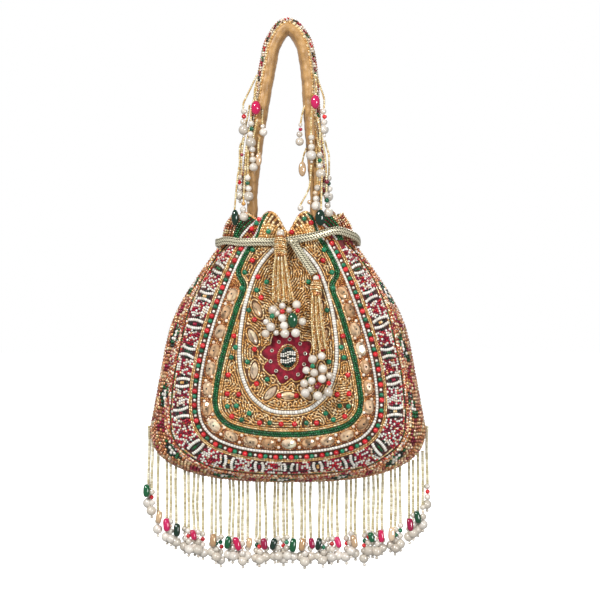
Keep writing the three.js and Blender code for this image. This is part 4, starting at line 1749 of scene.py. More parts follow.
# ---------- handle ----------
@dataclass
class Handle:
    """The padded strap, the bead band along its outer face, and the bead strings that hang from it."""

    line: tuple = (
        (-30, -164), (-28.5, -143), (-29, -120), (-26, -92), (-19.5, -50), (-15.2, -27), (-10.3, -6), (0, 5.75),
        (10.3, -5), (15.4, -28), (17.6, -60), (20.2, -92), (22.3, -120), (22, -143), (24, -164),
    )
    thick: float = 5.75
    deep: float = 10.0
    root_thick: float = 4.5
    root_deep: float = 6.5
    taper: tuple[float, float] = (-112.0, -136.0)
    band_end: float = -128.0
    string_r: float = 0.8
    # The least length of a string's thread, with what runs on through its pearls
    string_least: float = 31.5
    string_seed: int = 400
    pearl_seed: int = 500
    loose_seed: int = 47
    seed: int = 21
    # The band's colours: along its middle rows, and along its edges
    chevron: tuple = (
        Tint.CHERRY, Tint.CHERRY, Tint.COPPER, Tint.WHITE, Tint.WHITE, Tint.COPPER, Tint.GREEN, Tint.COPPER,
        Tint.COPPER,
    )
    edge: tuple = (Tint.MAROON, Tint.PALE, Tint.MAROON, Tint.GREEN, Tint.PALE, Tint.CHERRY, Tint.PALE, Tint.BLACK)
    # Each string: its node, where it leaves the band, where it hangs, and the height its pearls start at
    strings: tuple = (
        ("handle_string_left_1", (-25, -9, -34), (-35.2, -11, -56), -60),
        ("handle_string_left_2", (-24.5, -12.6, -44), (-29.2, -13.8, -62), -70),
        ("handle_string_left_3", (-34.4, -8, -80), (-38.2, -10, -92), -112),
        ("handle_string_left_4", (-31.5, -12.6, -94), (-31.6, -13.8, -100), -113),
        ("handle_string_right_1", (22.8, -9, -34), (28.6, -11, -52), -60),
        ("handle_string_right_2", (19.4, -12.6, -58), (18.4, -13.8, -68), -81),
        ("handle_string_right_3", (23.6, -12.6, -68), (25.4, -13.8, -78), -95),
        ("handle_string_right_4", (29.6, -8, -86), (32.6, -10, -98), -113),
    )

    def frames(self, step: float) -> list[tuple[Array, Array]]:
        """Gives the centreline's places and outward directions at even steps, from the left root to the right.

        Args:
            step: the distance between them.

        Returns:
            The place and the outward direction of each.
        """
        knots = np.array(self.line, dtype=float)
        ends = np.vstack([2 * knots[0] - knots[1], knots, 2 * knots[-1] - knots[-2]])
        fine = []
        for p in zip(ends, ends[1:], ends[2:], ends[3:]):
            t = np.concatenate([[0.0], np.cumsum([math.sqrt(np.linalg.norm(b - a)) for a, b in zip(p, p[1:])])])
            for s in np.linspace(t[1], t[2], 14, endpoint=False):
                a = [between(t[i], t[i + 1], s, p[i], p[i + 1]) for i in range(3)]
                b = [between(t[i], t[i + 2], s, a[i], a[i + 1]) for i in range(2)]
                fine.append(between(t[1], t[2], s, *b))
        fine.append(knots[-1])
        return [
            (np.array([m[0], 0.0, m[1]]), np.array([-t[1], 0.0, t[0]]))
            for m, t in ((m, unit(t)) for m, t in marks_along(np.array(fine), step))
        ]

    def section(self, z: float) -> tuple[float, float]:
        """Gives half the strap's thickness and depth at a height: it narrows as it goes into the mouth.

        Args:
            z: the height.

        Returns:
            The two half sizes.
        """
        t = float(np.clip((z - self.taper[0]) / (self.taper[1] - self.taper[0]), 0, 1))
        t = t * t * (3 - 2 * t)
        return self.thick + (self.root_thick - self.thick) * t, self.deep + (self.root_deep - self.deep) * t

    def strap(self) -> Piece:
        """Makes the padded strap: flat faces, rounded edges, a sewn seam along each edge, and slack creases.

        Returns:
            The strap.
        """
        rng = np.random.default_rng(self.seed)
        phases = rng.uniform(0, math.tau, 6)
        around, step = 36, 1.6
        rings = []
        for k, (centre, outward) in enumerate(self.frames(step)):
            thick, deep = self.section(centre[2])
            run, ring = k * step, []
            for c, s in circle(around):
                out, back = blunt(c, 0.8) * thick, blunt(s, 0.8) * deep
                crease = 0.22 * math.sin(run * 0.42 + 1.7 * c + phases[0])
                crease += 0.16 * math.sin(run * 0.93 + 2.3 * s + phases[1])
                crease += 0.12 * math.sin(run * 1.9 + 3.1 * s + phases[2])
                scale = 1 + (crease - 0.25) / deep
                seam = 0.55 * math.exp(-((abs(back) - deep * 0.72) ** 2) / 0.5)
                across = np.array([0.0, back * scale, 0.0])
                ring.append(centre + outward * (out * scale - math.copysign(seam, out)) + across)
            rings.append(ring)
        points = np.array(rings).reshape(-1, 3)
        start, end, last = len(points), len(points) + 1, len(points) - around
        points = np.vstack([points, np.mean(rings[0], axis=0), np.mean(rings[-1], axis=0)])
        faces = []
        for i in range(around):
            n = (i + 1) % around
            faces += [(a + i, a + around + i, a + around + n, a + n) for a in range(0, last, around)]
            faces += [(start, i, n), (end, last + n, last + i)]
        return piece_from("handle_satin_strap", points, faces, [SATIN])

    def outer_frames(self, step: float) -> list[tuple[Array, Array]]:
        """Gives the frames that are evenly spaced along the strap's outer face, between the band's ends.

        Args:
            step: the distance between them on that face.

        Returns:
            The frames.
        """
        fine = [f for f in self.frames(0.2) if f[0][2] > self.band_end]
        run = distances(np.array([centre + outward * (self.thick + 1.0) for centre, outward in fine]))
        return [fine[i] for i in np.searchsorted(run, np.arange(0.0, run[-1], step))]

    def band(self) -> Piece:
        """Sews the bead band: rows along the strap's outer face, white at the edges and coloured between.

        Returns:
            The band.
        """
        rng = np.random.default_rng(self.seed + 1)
        cloud = BeadCloud(OPAQUE)
        keep = self.outer_frames(2.0)
        for out_edge, out_middle, shrink in ((5.3, 6.4, 1.0), (6.6, 7.6, 0.96)):
            for column in range(-3, 4):
                bow = out_middle - (out_middle - out_edge) * (abs(column) / 3) ** 2
                for k, (centre, outward) in enumerate(keep):
                    spot = centre + outward * bow + np.array([0.0, column * 2.05 * shrink, 0.0])
                    tint = self.chevron[(k + abs(column)) % len(self.chevron)]
                    if abs(column) == 3:
                        tint = Tint.GOLD if k % 3 else Tint.WHITE
                    cloud.add(spot, np.cross(outward, FORWARD), outward, (2.0, 2.05, 1.9), tint.pick(rng))
        for side in (-1, 1):
            for k, (centre, outward) in enumerate(keep):
                spot = centre + outward * (5.9 + 0.5 * (k % 2)) + np.array([0.0, side * 7.4, 0.0])
                tint = self.edge[(k // 2) % len(self.edge)]
                cloud.add(spot, outward, np.array([0.0, float(side), 0.0]), (2.2, 1.9, 1.9), tint.pick(rng))
        return cloud.build("handle_bead_braid")

    def edge_lines(self) -> Piece:
        """Sews thin gold bead lines along the strap's faces, beside the band.

        Returns:
            The lines.
        """
        rng = np.random.default_rng(self.seed + 2)
        cloud = BeadCloud(LINED_PALE, tube=True)
        for centre, outward in (f for f in self.frames(2.3) if f[0][2] > self.band_end):
            thick, deep = self.section(centre[2])
            for side in (-1, 1):
                for degrees, tint in ((38, Tint.PALE), (52, Tint.STRAND), (64, Tint.GOLD)):
                    c, s = math.cos(math.radians(degrees)), math.sin(math.radians(degrees))
                    spot = centre + outward * c**0.8 * thick + np.array([0.0, side * (s**0.8 * deep), 0.0])
                    facing = outward * c + np.array([0.0, side * s, 0.0])
                    cloud.add(spot, np.cross(outward, FORWARD), facing, (2.2, 1.15, 1.2), tint.pick(rng))
        return cloud.build("handle_edge_lines")


def bead_string(name: str, path: Array, radius: float, tint: Tint, seed: int) -> Piece:
    """Threads seed beads on a path, as a piece of its own.

    Args:
        name: the piece's name.
        path: points along the thread.
        radius: the beads' radius.
        tint: their colour.
        seed: the fixed seed of their unevenness.

    Returns:
        The string of beads.
    """
    rng = np.random.default_rng(seed)
    cloud = BeadCloud(LINED_PALE, tube=True)
    for mark, tangent in marks_along(path, SEED_PITCH):
        size = 2 * radius * rng.uniform(0.9, 1.04)
        cloud.add(mark, tangent, np.cross(tangent, [0.3, 1.0, 0.1]), (SEED_LENGTH, size, size), tint.pick(rng))
    return cloud.build(name)


class Drop(Enum):
    """What hangs at a string's end above its last pearls: one drop, or coloured balls, of these tints."""

    EMERALD_OVAL = (Tint.EMERALD,)
    MAGENTA_DROP = (Tint.MAGENTA,)
    CHAMPAGNE_FACET = (Tint.CHAMPAGNE,)
    RED_BALL = (Tint.BALL_RED,)
    GREEN_BALL = (Tint.BALL_GREEN,)
    TWO_BALLS = (Tint.BALL_GREEN, Tint.BALL_RED)
    PEARLS_ONLY = ()


@dataclass
class PearlEnd:
    """What hangs at the end of a string: a drop or coloured balls, pearls, and a small end bead."""

    seed: int
    balls: Balls = field(default_factory=Balls)

    def hang(self, top: Array, kind: Drop) -> None:
        """Threads the beads below a point.

        Args:
            top: the string's lowest point.
            kind: its large bead.
        """
        rng = np.random.default_rng(self.seed)
        spot = np.array(top, dtype=float)
        # Each bead's radius and tint, from the top
        order = [(2.4, Tint.PEARL)]
        if kind in (Drop.EMERALD_OVAL, Drop.MAGENTA_DROP, Drop.CHAMPAGNE_FACET):
            tint = kind.value[0]
            half, tall = rng.uniform(3.0, 3.5), rng.uniform(1.4, 1.7)
            tilt = np.array([rng.uniform(-0.35, 0.35), 0.15, 1.0])
            centre = spot + np.array([rng.uniform(-1.6, 1.6), -4.6, -half * tall])
            size = (half * tall, half, half * 0.8)
            self.balls.add(centre, size, tint.pick(rng), FINISH_OF[tint], 3, tilt, 0.72)
            order = [(1.7, Tint.PEARL)] * 2 + [(2.5, Tint.PEARL)]
        elif kind.value:
            order += [(1.9, tint) for tint in kind.value] + [(2.5, Tint.PEARL)]
        else:
            order += [(1.3, Tint.PALE), (2.7, Tint.PEARL)]
        order += [(rng.uniform(3.7, 4.2), Tint.PEARL), (1.3, Tint.PEARL)]
        for radius, tint in order:
            spot[2] -= radius
            away = np.array([rng.uniform(-0.5, 0.5), rng.uniform(-0.5, 0.5), 0.0])
            self.balls.thread_on(spot + away, radius, tint, rng)
            spot[2] -= radius * 0.94

    def build(self, name: str, top: Array, kind: Drop) -> Piece:
        """Makes the end below a point as one piece.

        Args:
            name: the piece's name.
            top: the string's lowest point.
            kind: its large bead.

        Returns:
            The end.
        """
        self.hang(top, kind)
        return self.balls.build(name)


# ---------- drawstring and tassels ----------
@dataclass
class Drawstring:
    """The flat braid round the neck, its knot, and the tail that the side tassel hangs from."""

    neck_z: float = -166.0
    half_width: float = 57.2
    half_depth: float = 27.2
    lift: float = 9.0
    wide: float = 6.4
    thick: float = 2.2
    knot_at: tuple = (4.4, -32.2, -167.0)
    tail_at: tuple = ((3.5, -31.6, -165.5), (8, -33.0, -173), (12, -34.2, -179), (16, -35.6, -185), (20.4, -37, -191.5))

    def ribbon(self, name: str, centres: Array, outward: Array, upward: Array, closed: bool) -> Piece:
        """Sweeps the braid's rounded flat section along its centres.

        Args:
            name: the piece's name.
            centres: the centreline.
            outward: the way its flat side faces at each centre.
            upward: the way across it at each centre.
            closed: whether it is a loop.

        Returns:
            The braid.
        """
        corners, count = 14, len(centres)
        shape = [(blunt(c, 0.7) * self.thick / 2, blunt(s, 0.85) * self.wide / 2) for c, s in circle(corners)]
        girth, run = distances(np.array(shape + shape[:1])), distances(centres)
        total = run[-1] + (np.linalg.norm(centres[0] - centres[-1]) if closed else 0.0)
        points = [c + o * u + w * v for c, o, w in zip(centres, outward, upward) for u, v in shape]
        faces, uv = [], []
        for j in range(count if closed else count - 1):
            n = (j + 1) % count
            s0, s1 = run[j], run[n] if n else total
            for k in range(corners):
                m = (k + 1) % corners
                faces.append((j * corners + k, j * corners + m, n * corners + m, n * corners + k))
                uv += [(s0, girth[k]), (s0, girth[k + 1]), (s1, girth[k + 1]), (s1, girth[k])]
        if not closed:
            for ring, order in ((0, -1), ((count - 1) * corners, 1)):
                faces.append(tuple(range(ring, ring + corners))[::order])
                uv += [(0.0, 0.0)] * corners
        return piece_from(name, np.array(points), faces, [BRAID], uv=np.array(uv))

    def loop(self) -> Piece:
        """Makes the loop round the neck, which rides up over the ruffle on its right.

        Returns:
            The loop.
        """
        turns = np.linspace(-math.pi, math.pi, 241)[:-1]
        lift = np.where((turns > 0) & (turns < math.pi / 2), self.lift * np.sin(2 * turns) ** 2, 0.0)
        wander = 0.7 * np.sin(5 * turns + 0.6) + 0.4 * np.sin(11 * turns)
        round_neck = [self.half_width * np.sin(turns), -self.half_depth * np.cos(turns)]
        centres = np.stack([*round_neck, self.neck_z + lift + wander], axis=1)
        outward = np.stack([np.sin(turns) / self.half_width, -np.cos(turns) / self.half_depth, 0 * turns], axis=1)
        return self.ribbon("drawstring_braid_loop", centres, unit(outward), np.tile(UP, (len(turns), 1)), True)

    def tail(self) -> Piece:
        """Makes the tail from the knot down to the side tassel.

        Returns:
            The tail.
        """
        centres = along_curve(self.tail_at, 1.4)
        tangents = unit(np.gradient(centres, axis=0))
        facing = np.array([0.0, -0.96, 0.27])
        outward = unit(facing - tangents * (tangents @ facing)[:, None])
        return self.ribbon("drawstring_braid_tail", centres, outward, np.cross(tangents, outward), False)

    def knot(self) -> Piece:
        """Makes the knot: three turns of the braid wound round each other.

        Returns:
            The knot.
        """
        steps = np.linspace(0, math.tau, 97)[:-1]
        wound = [
            3.0 * np.sin(steps) + 1.3 * np.sin(2 * steps), -1.3 * np.cos(3 * steps),
            2.3 * np.cos(steps) - 1.5 * np.cos(2 * steps),
        ]
        centres = np.array(self.knot_at) + np.stack(wound, axis=1)
        tangents = unit(np.gradient(centres, axis=0))
        outward = unit(np.cross(tangents, FORWARD))
        narrow = Drawstring(wide=3.6, thick=2.0)
        return narrow.ribbon("drawstring_braid_knot", centres, outward, np.cross(tangents, outward), True)


@dataclass
class Tassel:
    """A tassel: a top pearl, a wound head, a skirt of bead strings, and a cluster of pearls and drops."""

    name: str
    pivot: tuple[float, float, float]
    lean: float
    bead: float
    head: tuple[float, float, float]  # starts, ends, radius
    skirt: tuple[float, float, float]  # ends, its end's x, half its end's width
    strings: int
    seed: int
    # Each bead of the cluster: x from the tassel's line, distance below the pivot, out, radius or half sizes, tint
    cluster: tuple = ()

    def world(self, x: float, out: float, down: float) -> Array:
        """Turns a place on the tassel, measured from its pivot along its lean, into the bag's frame.

        Args:
            x: to the right.
            out: forwards.
            down: down its line.

        Returns:
            The place.
        """
        c, s = math.cos(math.radians(self.lean)), math.sin(math.radians(self.lean))
        return np.array(self.pivot) + np.array([x, -down * s - out * c, -down * c + out * s])

    def top(self) -> Piece:
        """Makes the top pearl on its knot.

        Returns:
            The pearl.
        """
        rng = np.random.default_rng(self.seed)
        balls = Balls()
        balls.thread_on(self.world(0, 0.4, 0.2), self.bead, Tint.PEARL, rng)
        for c, s in circle(8):
            knot = self.world(1.9 * c, 1.9 * s, self.bead + 0.4)
            balls.add(knot, (0.8, 0.8, 0.7), Tint.GOLD.pick(rng), LINED, 1)
        return balls.build(f"{self.name}_pearl_knot")

    def wound_head(self) -> Piece:
        """Winds the head in rings of gold beads over a core.

        Returns:
            The head.
        """
        rng = np.random.default_rng(self.seed + 1)
        start, end, radius = self.head
        pitch, squash = 1.75, 0.85
        cloud = BeadCloud(LINED)
        down_axis = self.world(0, 0, 1) - self.world(0, 0, 0)
        for row in range(int((end - start) / pitch)):
            down = start + 1.0 + row * pitch
            swell = radius * (0.86 if row == 0 else 1.0 + 0.05 * math.sin(row * 2.1)) - 0.6
            tint = Tint.GOLD if row % 3 else Tint.STRAND
            for c, s in circle(int(math.tau * swell / 1.45), 0.5 * (row % 2)):
                spot = self.world(swell * c, swell * squash * s, down + 0.35 * c)
                normal = spot - self.world(0, 0, down)
                cloud.add(spot, np.cross(down_axis, normal), normal, (1.95, 1.65, 1.5), tint.pick(rng))
        for row in range(3):
            down = start + 0.6 + row * (end - start - 1) / 2
            for c, s in circle(10):
                spot = self.world((radius - 1.5) * c, (radius - 1.6) * squash * s, down)
                cloud.add(spot, down_axis, spot - self.world(0, 0, down), (5.0, 3.2, 1.6), Tint.DEEP_GOLD.pick(rng))
        return cloud.build(f"{self.name}_wound_head")

    def skirt_strings(self) -> Piece:
        """Hangs the skirt's bead strings from the head, spreading to the pearls.

        Returns:
            The skirt.
        """
        rng = np.random.default_rng(self.seed + 2)
        cloud = BeadCloud(LINED)
        start, radius = self.head[1] - 0.5, self.head[2]
        end, end_x, end_half = self.skirt
        for k in range(self.strings):
            spread = (k + 0.5) / self.strings * 2 - 1
            out = (1.7, 0.1, -1.6)[k % 3]
            stop = end + rng.uniform(-2.5, 2.0)
            path = [
                self.world(spread * (radius - 1.1), out * 0.9, start),
                self.world(spread * (radius + end_half) / 2 * 0.92 + end_x * 0.3, out + 0.2, (start + stop) / 2),
                self.world(spread * (end_half - 0.8) + end_x + rng.uniform(-0.5, 0.5), out * 0.95, stop),
            ]
            tint = Tint.GOLD if k % 3 else Tint.STRAND
            for mark, tangent in marks_along(along_curve(path, 0.8), 1.5):
                cloud.add(mark, tangent, FORWARD, (2.1, 1.8, 1.8), tint.pick(rng))
        return cloud.build(f"{self.name}_skirt_strings")

    def pearl_cluster(self) -> Piece:
        """Hangs the cluster of pearls, coloured balls and drops.

        Returns:
            The cluster.
        """
        rng = np.random.default_rng(self.seed + 3)
        balls = Balls()
        for x, down, out, half, tint in self.cluster:
            balls.thread_on(self.world(x, out, down), half, tint, rng, 2.9)
        return balls.build(f"{self.name}_pearl_cluster")

    def build(self) -> list[tuple[Piece, str]]:
        """Makes the tassel's pieces, each with the node it replaces.

        Returns:
            The pieces and the nodes.
        """
        return [
            (self.top(), f"{self.name}_top_bead"), (self.wound_head(), f"{self.name}_head"),
            (self.skirt_strings(), f"{self.name}_skirt"), (self.pearl_cluster(), f"{self.name}_pearls"),
        ]


# ---------- fringe ----------
@dataclass
class Fringe:
    """The bead strings along the side and bottom seam, each with its pearl end."""

    pouch: Pouch
    count: int = 32
    half_span: float = 111.2
    string: float = 44.0
    string_r: float = 1.2
    gap: float = 0.3
    seed: int = 31
    pearl_seed: int = 131
    second_seed: int = 231
    order: tuple = (
        Drop.EMERALD_OVAL, Drop.CHAMPAGNE_FACET, Drop.MAGENTA_DROP, Drop.EMERALD_OVAL, Drop.PEARLS_ONLY,
        Drop.MAGENTA_DROP, Drop.RED_BALL, Drop.CHAMPAGNE_FACET, Drop.TWO_BALLS, Drop.EMERALD_OVAL, Drop.MAGENTA_DROP,
        Drop.CHAMPAGNE_FACET, Drop.GREEN_BALL, Drop.MAGENTA_DROP, Drop.EMERALD_OVAL, Drop.RED_BALL,
    )

    def hem(self, x: float) -> float:
        """Gives the height of the pouch's bottom edge at a distance from the middle.

        Args:
            x: the distance from the middle.

        Returns:
            The height.
        """
        share = self.pouch.share(np.array(abs(x)), self.pouch.widest_half, self.pouch.corner_power)
        return self.pouch.widest_z - (self.pouch.widest_z - self.pouch.bottom_z) * float(share)

    def places(self) -> list[tuple[float, float, float]]:
        """Gives each string's x, its top and its lower end.

        Returns:
            The three values of each.
        """
        made = []
        for k in range(self.count):
            x = -self.half_span + 2 * self.half_span * k / (self.count - 1)
            top = self.hem(max(abs(x) - self.string_r - self.gap, 0)) - self.gap
            made.append((x, top, top - self.string))
        return made

    def hang(self) -> None:
        """Threads and hangs every string."""
        rng = np.random.default_rng(self.seed)
        partner, ends = BeadCloud(LINED_PALE, tube=True), Balls()
        steps = np.linspace(0, 1, 24)
        for k, (x, top, end) in enumerate(self.places()):
            sway, drop = rng.uniform(-0.5, 0.5), end - top - 0.9
            curve = [x + sway * np.sin(steps * 5.2 + k), 0.35 * np.sin(steps * 4 + 2 * k), top + 0.9 + drop * steps]
            path = np.stack(curve, axis=1)
            number = f"{k + 1:02d}"
            string = bead_string(f"fringe_beads_{number}", path, self.string_r, Tint.SEED, self.seed + k)
            end_spot, kind = path[-1] - 0.4 * UP, self.order[k % len(self.order)]
            pearls = PearlEnd(self.pearl_seed + k).build(f"fringe_pearls_{number}", end_spot, kind)
            hang_on(string, pearls, f"fringe_string_{number}", path)
            if k % 5 not in (1, 3) and k < self.count - 1:
                # A second string beside the first, a little shorter or longer, with pearls of its own
                lean, rise = rng.uniform(2.7, 3.6), rng.uniform(-4.4, 4.4)
                side = path + np.array([(lean, -1.6 - 1.4 * s, rise * s) for s in steps])
                if abs(x) > 100:
                    side[:, 2] += (self.hem(min(abs(x) + 2, 108)) - self.hem(abs(x))) * 0.5
                thread(partner, side, rng)
                kind = (Drop.RED_BALL, Drop.PEARLS_ONLY, Drop.PEARLS_ONLY, Drop.GREEN_BALL)[k % 4]
                PearlEnd(self.second_seed + k, ends).hang(side[-1], kind)
        settle(partner.build("fringe_second_strings"), "bag", "pale_beads")
        settle(ends.build("fringe_second_pearls"), "bag", "pearl")


def thread(cloud: BeadCloud, path: Array, rng: np.random.Generator, tint: Tint = Tint.SEED, wide: float = 2.3) -> None:
    """Threads seed beads on a path, into a cloud.

    Args:
        cloud: where the beads go.
        path: points along the thread.
        rng: what their unevenness is drawn with.
        tint: their colour.
        wide: their width.
    """
    for mark, tangent in marks_along(path, SEED_PITCH):
        size = wide * rng.uniform(0.9, 1.06)
        cloud.add(mark, tangent, FORWARD, (SEED_LENGTH, size, size), tint.pick(rng))


def hang_on(string: Piece, end: Piece, node: str, path: Array) -> None:
    """Args:
        string: the string.
        end: its pearl end.
        node: the node it replaces.
        path: points along the thread.
    """
    settle(string, "bag", "pale_beads", node)
    settle(end, "bag", "pearl")
    float(distances(path)[-1]) * MM


def handle_strings(handle: Handle) -> None:
    """Threads and hangs the handle's bead strings.

    Args:
        handle: the handle they hang from.
    """
    kinds = (Drop.RED_BALL, Drop.GREEN_BALL, Drop.RED_BALL, Drop.GREEN_BALL)
    kinds += (Drop.RED_BALL, Drop.PEARLS_ONLY, Drop.GREEN_BALL, Drop.GREEN_BALL)
    for k, ((node, leave, place, end), kind) in enumerate(zip(handle.strings, kinds)):
        start, elbow, low = (np.array(p, dtype=float) for p in (leave, place, (*place[:2], end)))
        # The thread goes on through the pearls, so the bare part and the pearls make one length
        knots = [start, (start + elbow) / 2, elbow, low]
        spare = max(4.0, handle.string_least - distances(np.array(knots))[-1])
        path = along_curve([*knots, low - UP * spare], 1.5)
        string = bead_string(f"handle_beads_{k + 1}", path, handle.string_r, Tint.STRAND, handle.string_seed + k)
        pearls = PearlEnd(handle.pearl_seed + k).build(f"handle_pearls_{k + 1}", low, kind)
        hang_on(string, pearls, node, path)


# Each loose string of the handle, from the band down: x, y, z
LOOSE_STRINGS = (
    ((-24.5, -12.5, -38), (-26.4, -13.6, -48), (-25.4, -14, -54)),
    ((-30.5, -9, -58), (-33.6, -11, -76), (-36.4, -12, -96), (-36.6, -12.5, -112)),
    ((-29, -11.5, -70), (-32.5, -13, -88), (-33.8, -13.5, -112)),
    ((-36, -9, -88), (-40.2, -12, -118), (-42, -16, -140)),
    ((-33.4, -12.5, -100), (-34.6, -14, -122), (-35, -15.5, -134)),
    ((-24.5, -12.6, -70), (-27.2, -13.6, -84), (-28, -14, -91)),
    ((21.5, -12, -34), (22.6, -13.4, -42), (22.2, -13.8, -49)),
    ((24.6, -11, -70), (28.6, -13, -92), (30.4, -13.8, -110), (30.6, -14.5, -127)),
    ((23.5, -12.6, -84), (26.8, -14, -104), (26.6, -20, -126), (26.2, -24, -141)),
    ((22.4, -12.8, -92), (23.4, -13.6, -106), (23.6, -14, -121)),
    ((18.5, -12, -106), (16.8, -13, -123), (9.9, -15, -137)), ((13.2, -7, -58), (11.4, -8.4, -64), (10.2, -9.6, -71)),
    ((-20.2, -10, -60), (-20.4, -10.4, -68), (-20, -10.8, -74)),
    ((-22.6, -12, -84), (-23.4, -12.4, -90), (-23.2, -12.8, -95)),
    ((14.4, -8.6, -92), (12.6, -9.2, -97), (11.6, -9.4, -102)),
)
# Each bead at their ends: x, y, z, half sizes, tint
LOOSE_BEADS = (
    (-25.3, -14.6, -60, (3.8, 3.0, 5.6), Tint.MAGENTA), (21.7, -14.6, -55.3, (3.7, 3.0, 5.6), Tint.MAGENTA),
    (-28, -14.6, -93, 2.4, Tint.PEARL), (-27.9, -14.6, -97, 1.4, Tint.PALE), (-27.8, -14.6, -101, 2.6, Tint.PEARL),
    (-27.2, -14.8, -107, 3.4, Tint.PEARL), (-41.6, -17.5, -147, (2.9, 2.3, 6.5), Tint.EMERALD),
    (-35, -16, -136, 1.8, Tint.GOLD), (-35.4, -16.5, -140.6, 2.5, Tint.PEARL), (-34.8, -17.5, -146.4, 3.6, Tint.PEARL),
    (-20, -11, -74.4, 1.9, Tint.PEARL), (-19.5, -11, -79, 3.2, Tint.PEARL),
    (-23.2, -13.2, -100.8, (2.6, 2.0, 5.5), Tint.CHAMPAGNE), (11.4, -9.5, -108, (3.0, 2.2, 6.0), Tint.CHAMPAGNE),
    (23.4, -15, -123.4, 2.6, Tint.PEARL), (21.6, -15, -127.4, 1.9, Tint.CHAMPAGNE),
    (22.4, -15.4, -132, 2.6, Tint.PEARL), (22.4, -16.5, -137.8, 3.9, Tint.PEARL), (30.4, -15, -129, 2.4, Tint.PEARL),
    (30.7, -15.4, -133.3, 1.9, Tint.BALL_GREEN), (31.4, -15.8, -137.4, 2.4, Tint.PEARL),
    (32.2, -16.5, -143, 3.7, Tint.PEARL), (31, -14.6, -118.6, 1.8, Tint.MAROON),
    (25.4, -27.5, -147.6, (4.0, 2.6, 6.5), Tint.EMERALD), (9.9, -15.5, -139.4, 2.3, Tint.PEARL),
    (17, -15.5, -134.7, 1.8, Tint.CHAMPAGNE), (9.9, -10, -73, 1.6, Tint.PEARL), (10, -10, -76.6, 1.6, Tint.MAROON),
    (9.2, -10, -80.6, 2.4, Tint.PEARL), (9.3, -10.4, -86.4, 3.3, Tint.PEARL), (-36.4, -12.6, -97, 1.4, Tint.MAROON),
)


def loose_strings(handle: Handle) -> None:
    """Threads the handle's shorter strings, which are tied in among the longer ones.

    Args:
        handle: the handle they hang from.
    """
    rng = np.random.default_rng(handle.loose_seed)
    strings, beads = BeadCloud(LINED_PALE, tube=True), Balls()
    for points in LOOSE_STRINGS:
        thread(strings, along_curve(points, 1.5), rng, Tint.STRAND, 1.5)
    for x, y, z, half, tint in LOOSE_BEADS:
        beads.thread_on(np.array([x, y, z]), half, tint, rng)
    settle(strings.build("handle_loose_strings"), "bag", "pale_beads")
    settle(beads.build("handle_loose_pearls"), "bag", "pearl")


# ---------- stage ----------
@dataclass
class Studio:
    """A pale floor, soft studio light, and the camera level with the middle of the bag."""

    distance: float = 1.25
    lens: float = 93.75
    aim_x: float = 0.0096
    aim_z: float = -0.212
    floor_z: float = -0.462
    room_light: float = 0.36

    def camera(self) -> None:
        """Makes the camera."""
        data = bpy.data.cameras.new("camera")
        data.lens = self.lens
        data.clip_end = 50
        camera = bpy.data.objects.new("camera", data)
        camera.location = (self.aim_x, -self.distance, self.aim_z)
        camera.rotation_euler = (math.radians(90), 0, 0)
        bpy.context.scene.collection.objects.link(camera)
        bpy.context.scene.camera = camera

    def light(self, name: str, size: float, power: float, place: tuple, aim: tuple) -> None:
        """Makes one soft box.

        Args:
            name: its name.
            size: its side, in metres.
            power: its power, in watts.
            place: where it stands, in metres.
            aim: what it faces, in metres.
        """
        data = bpy.data.lights.new(name, "AREA")
        data.size = size
        data.energy = power
        lamp = bpy.data.objects.new(name, data)
        lamp.location = place
        lamp.rotation_euler = (Vector(aim) - Vector(place)).to_track_quat("-Z", "Y").to_euler()
        bpy.context.scene.collection.objects.link(lamp)

    def build(self) -> None:
        """Makes the floor, the lights and the white surroundings."""
        corners = np.array([(-6, -6, 0), (6, -6, 0), (6, 6, 0), (-6, 6, 0)]) + self.floor_z * UP
        paper = Finish("matte_paper_backdrop", roughness=0.9, colour="#F8F8F7", glow=0.8)
        floor = piece_from("studio_floor", corners / MM, [(0, 1, 2, 3)], [paper], smooth=False)
        # The paper is for the eye only: the light on the bag comes from the boxes and the room
        floor.visible_diffuse = floor.visible_glossy = False
        middle = (0.0, 0.0, -0.22)
        self.light("key_soft_box", 0.32, 22, (-0.7, -1.2, 0.7), middle)
        self.light("fill_soft_box", 0.45, 11, (0.8, -1.3, -0.1), middle)
        self.light("back_soft_box", 0.8, 16, (0.3, 1.2, 0.8), middle)
        world = bpy.data.worlds.new("studio")
        world.use_nodes = True
        tree = world.node_tree
        background = tree.nodes["Background"].inputs
        to_camera = add_node(tree, "ShaderNodeLightPath").outputs["Is Camera Ray"]
        glow = {"Value": to_camera, "To Min": self.room_light, "To Max": 1.0}
        background["Color"].default_value = (1, 1, 1, 1)
        tree.links.new(add_node(tree, "ShaderNodeMapRange", glow).outputs["Result"], background["Strength"])
        bpy.context.scene.world = world
        # Plain display colours, so that white paper stays white
        bpy.context.scene.view_settings.view_transform = "Standard"


# ---------- the whole bag ----------
def settle(piece: Piece, body: str, slot: str, *nodes: str) -> None:
    """Fixes a piece to a body, hides the nodes that it stands for, and logs its faces.

    Args:
        piece: the piece.
        body: the body it moves with.
        slot: its material slot; not used.
        nodes: the nodes.
    """
    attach(piece, body)
    if nodes:
        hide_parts(*nodes)
    LOG.info("%s: %d faces on %s", piece.name, len(piece.data.polygons), body)


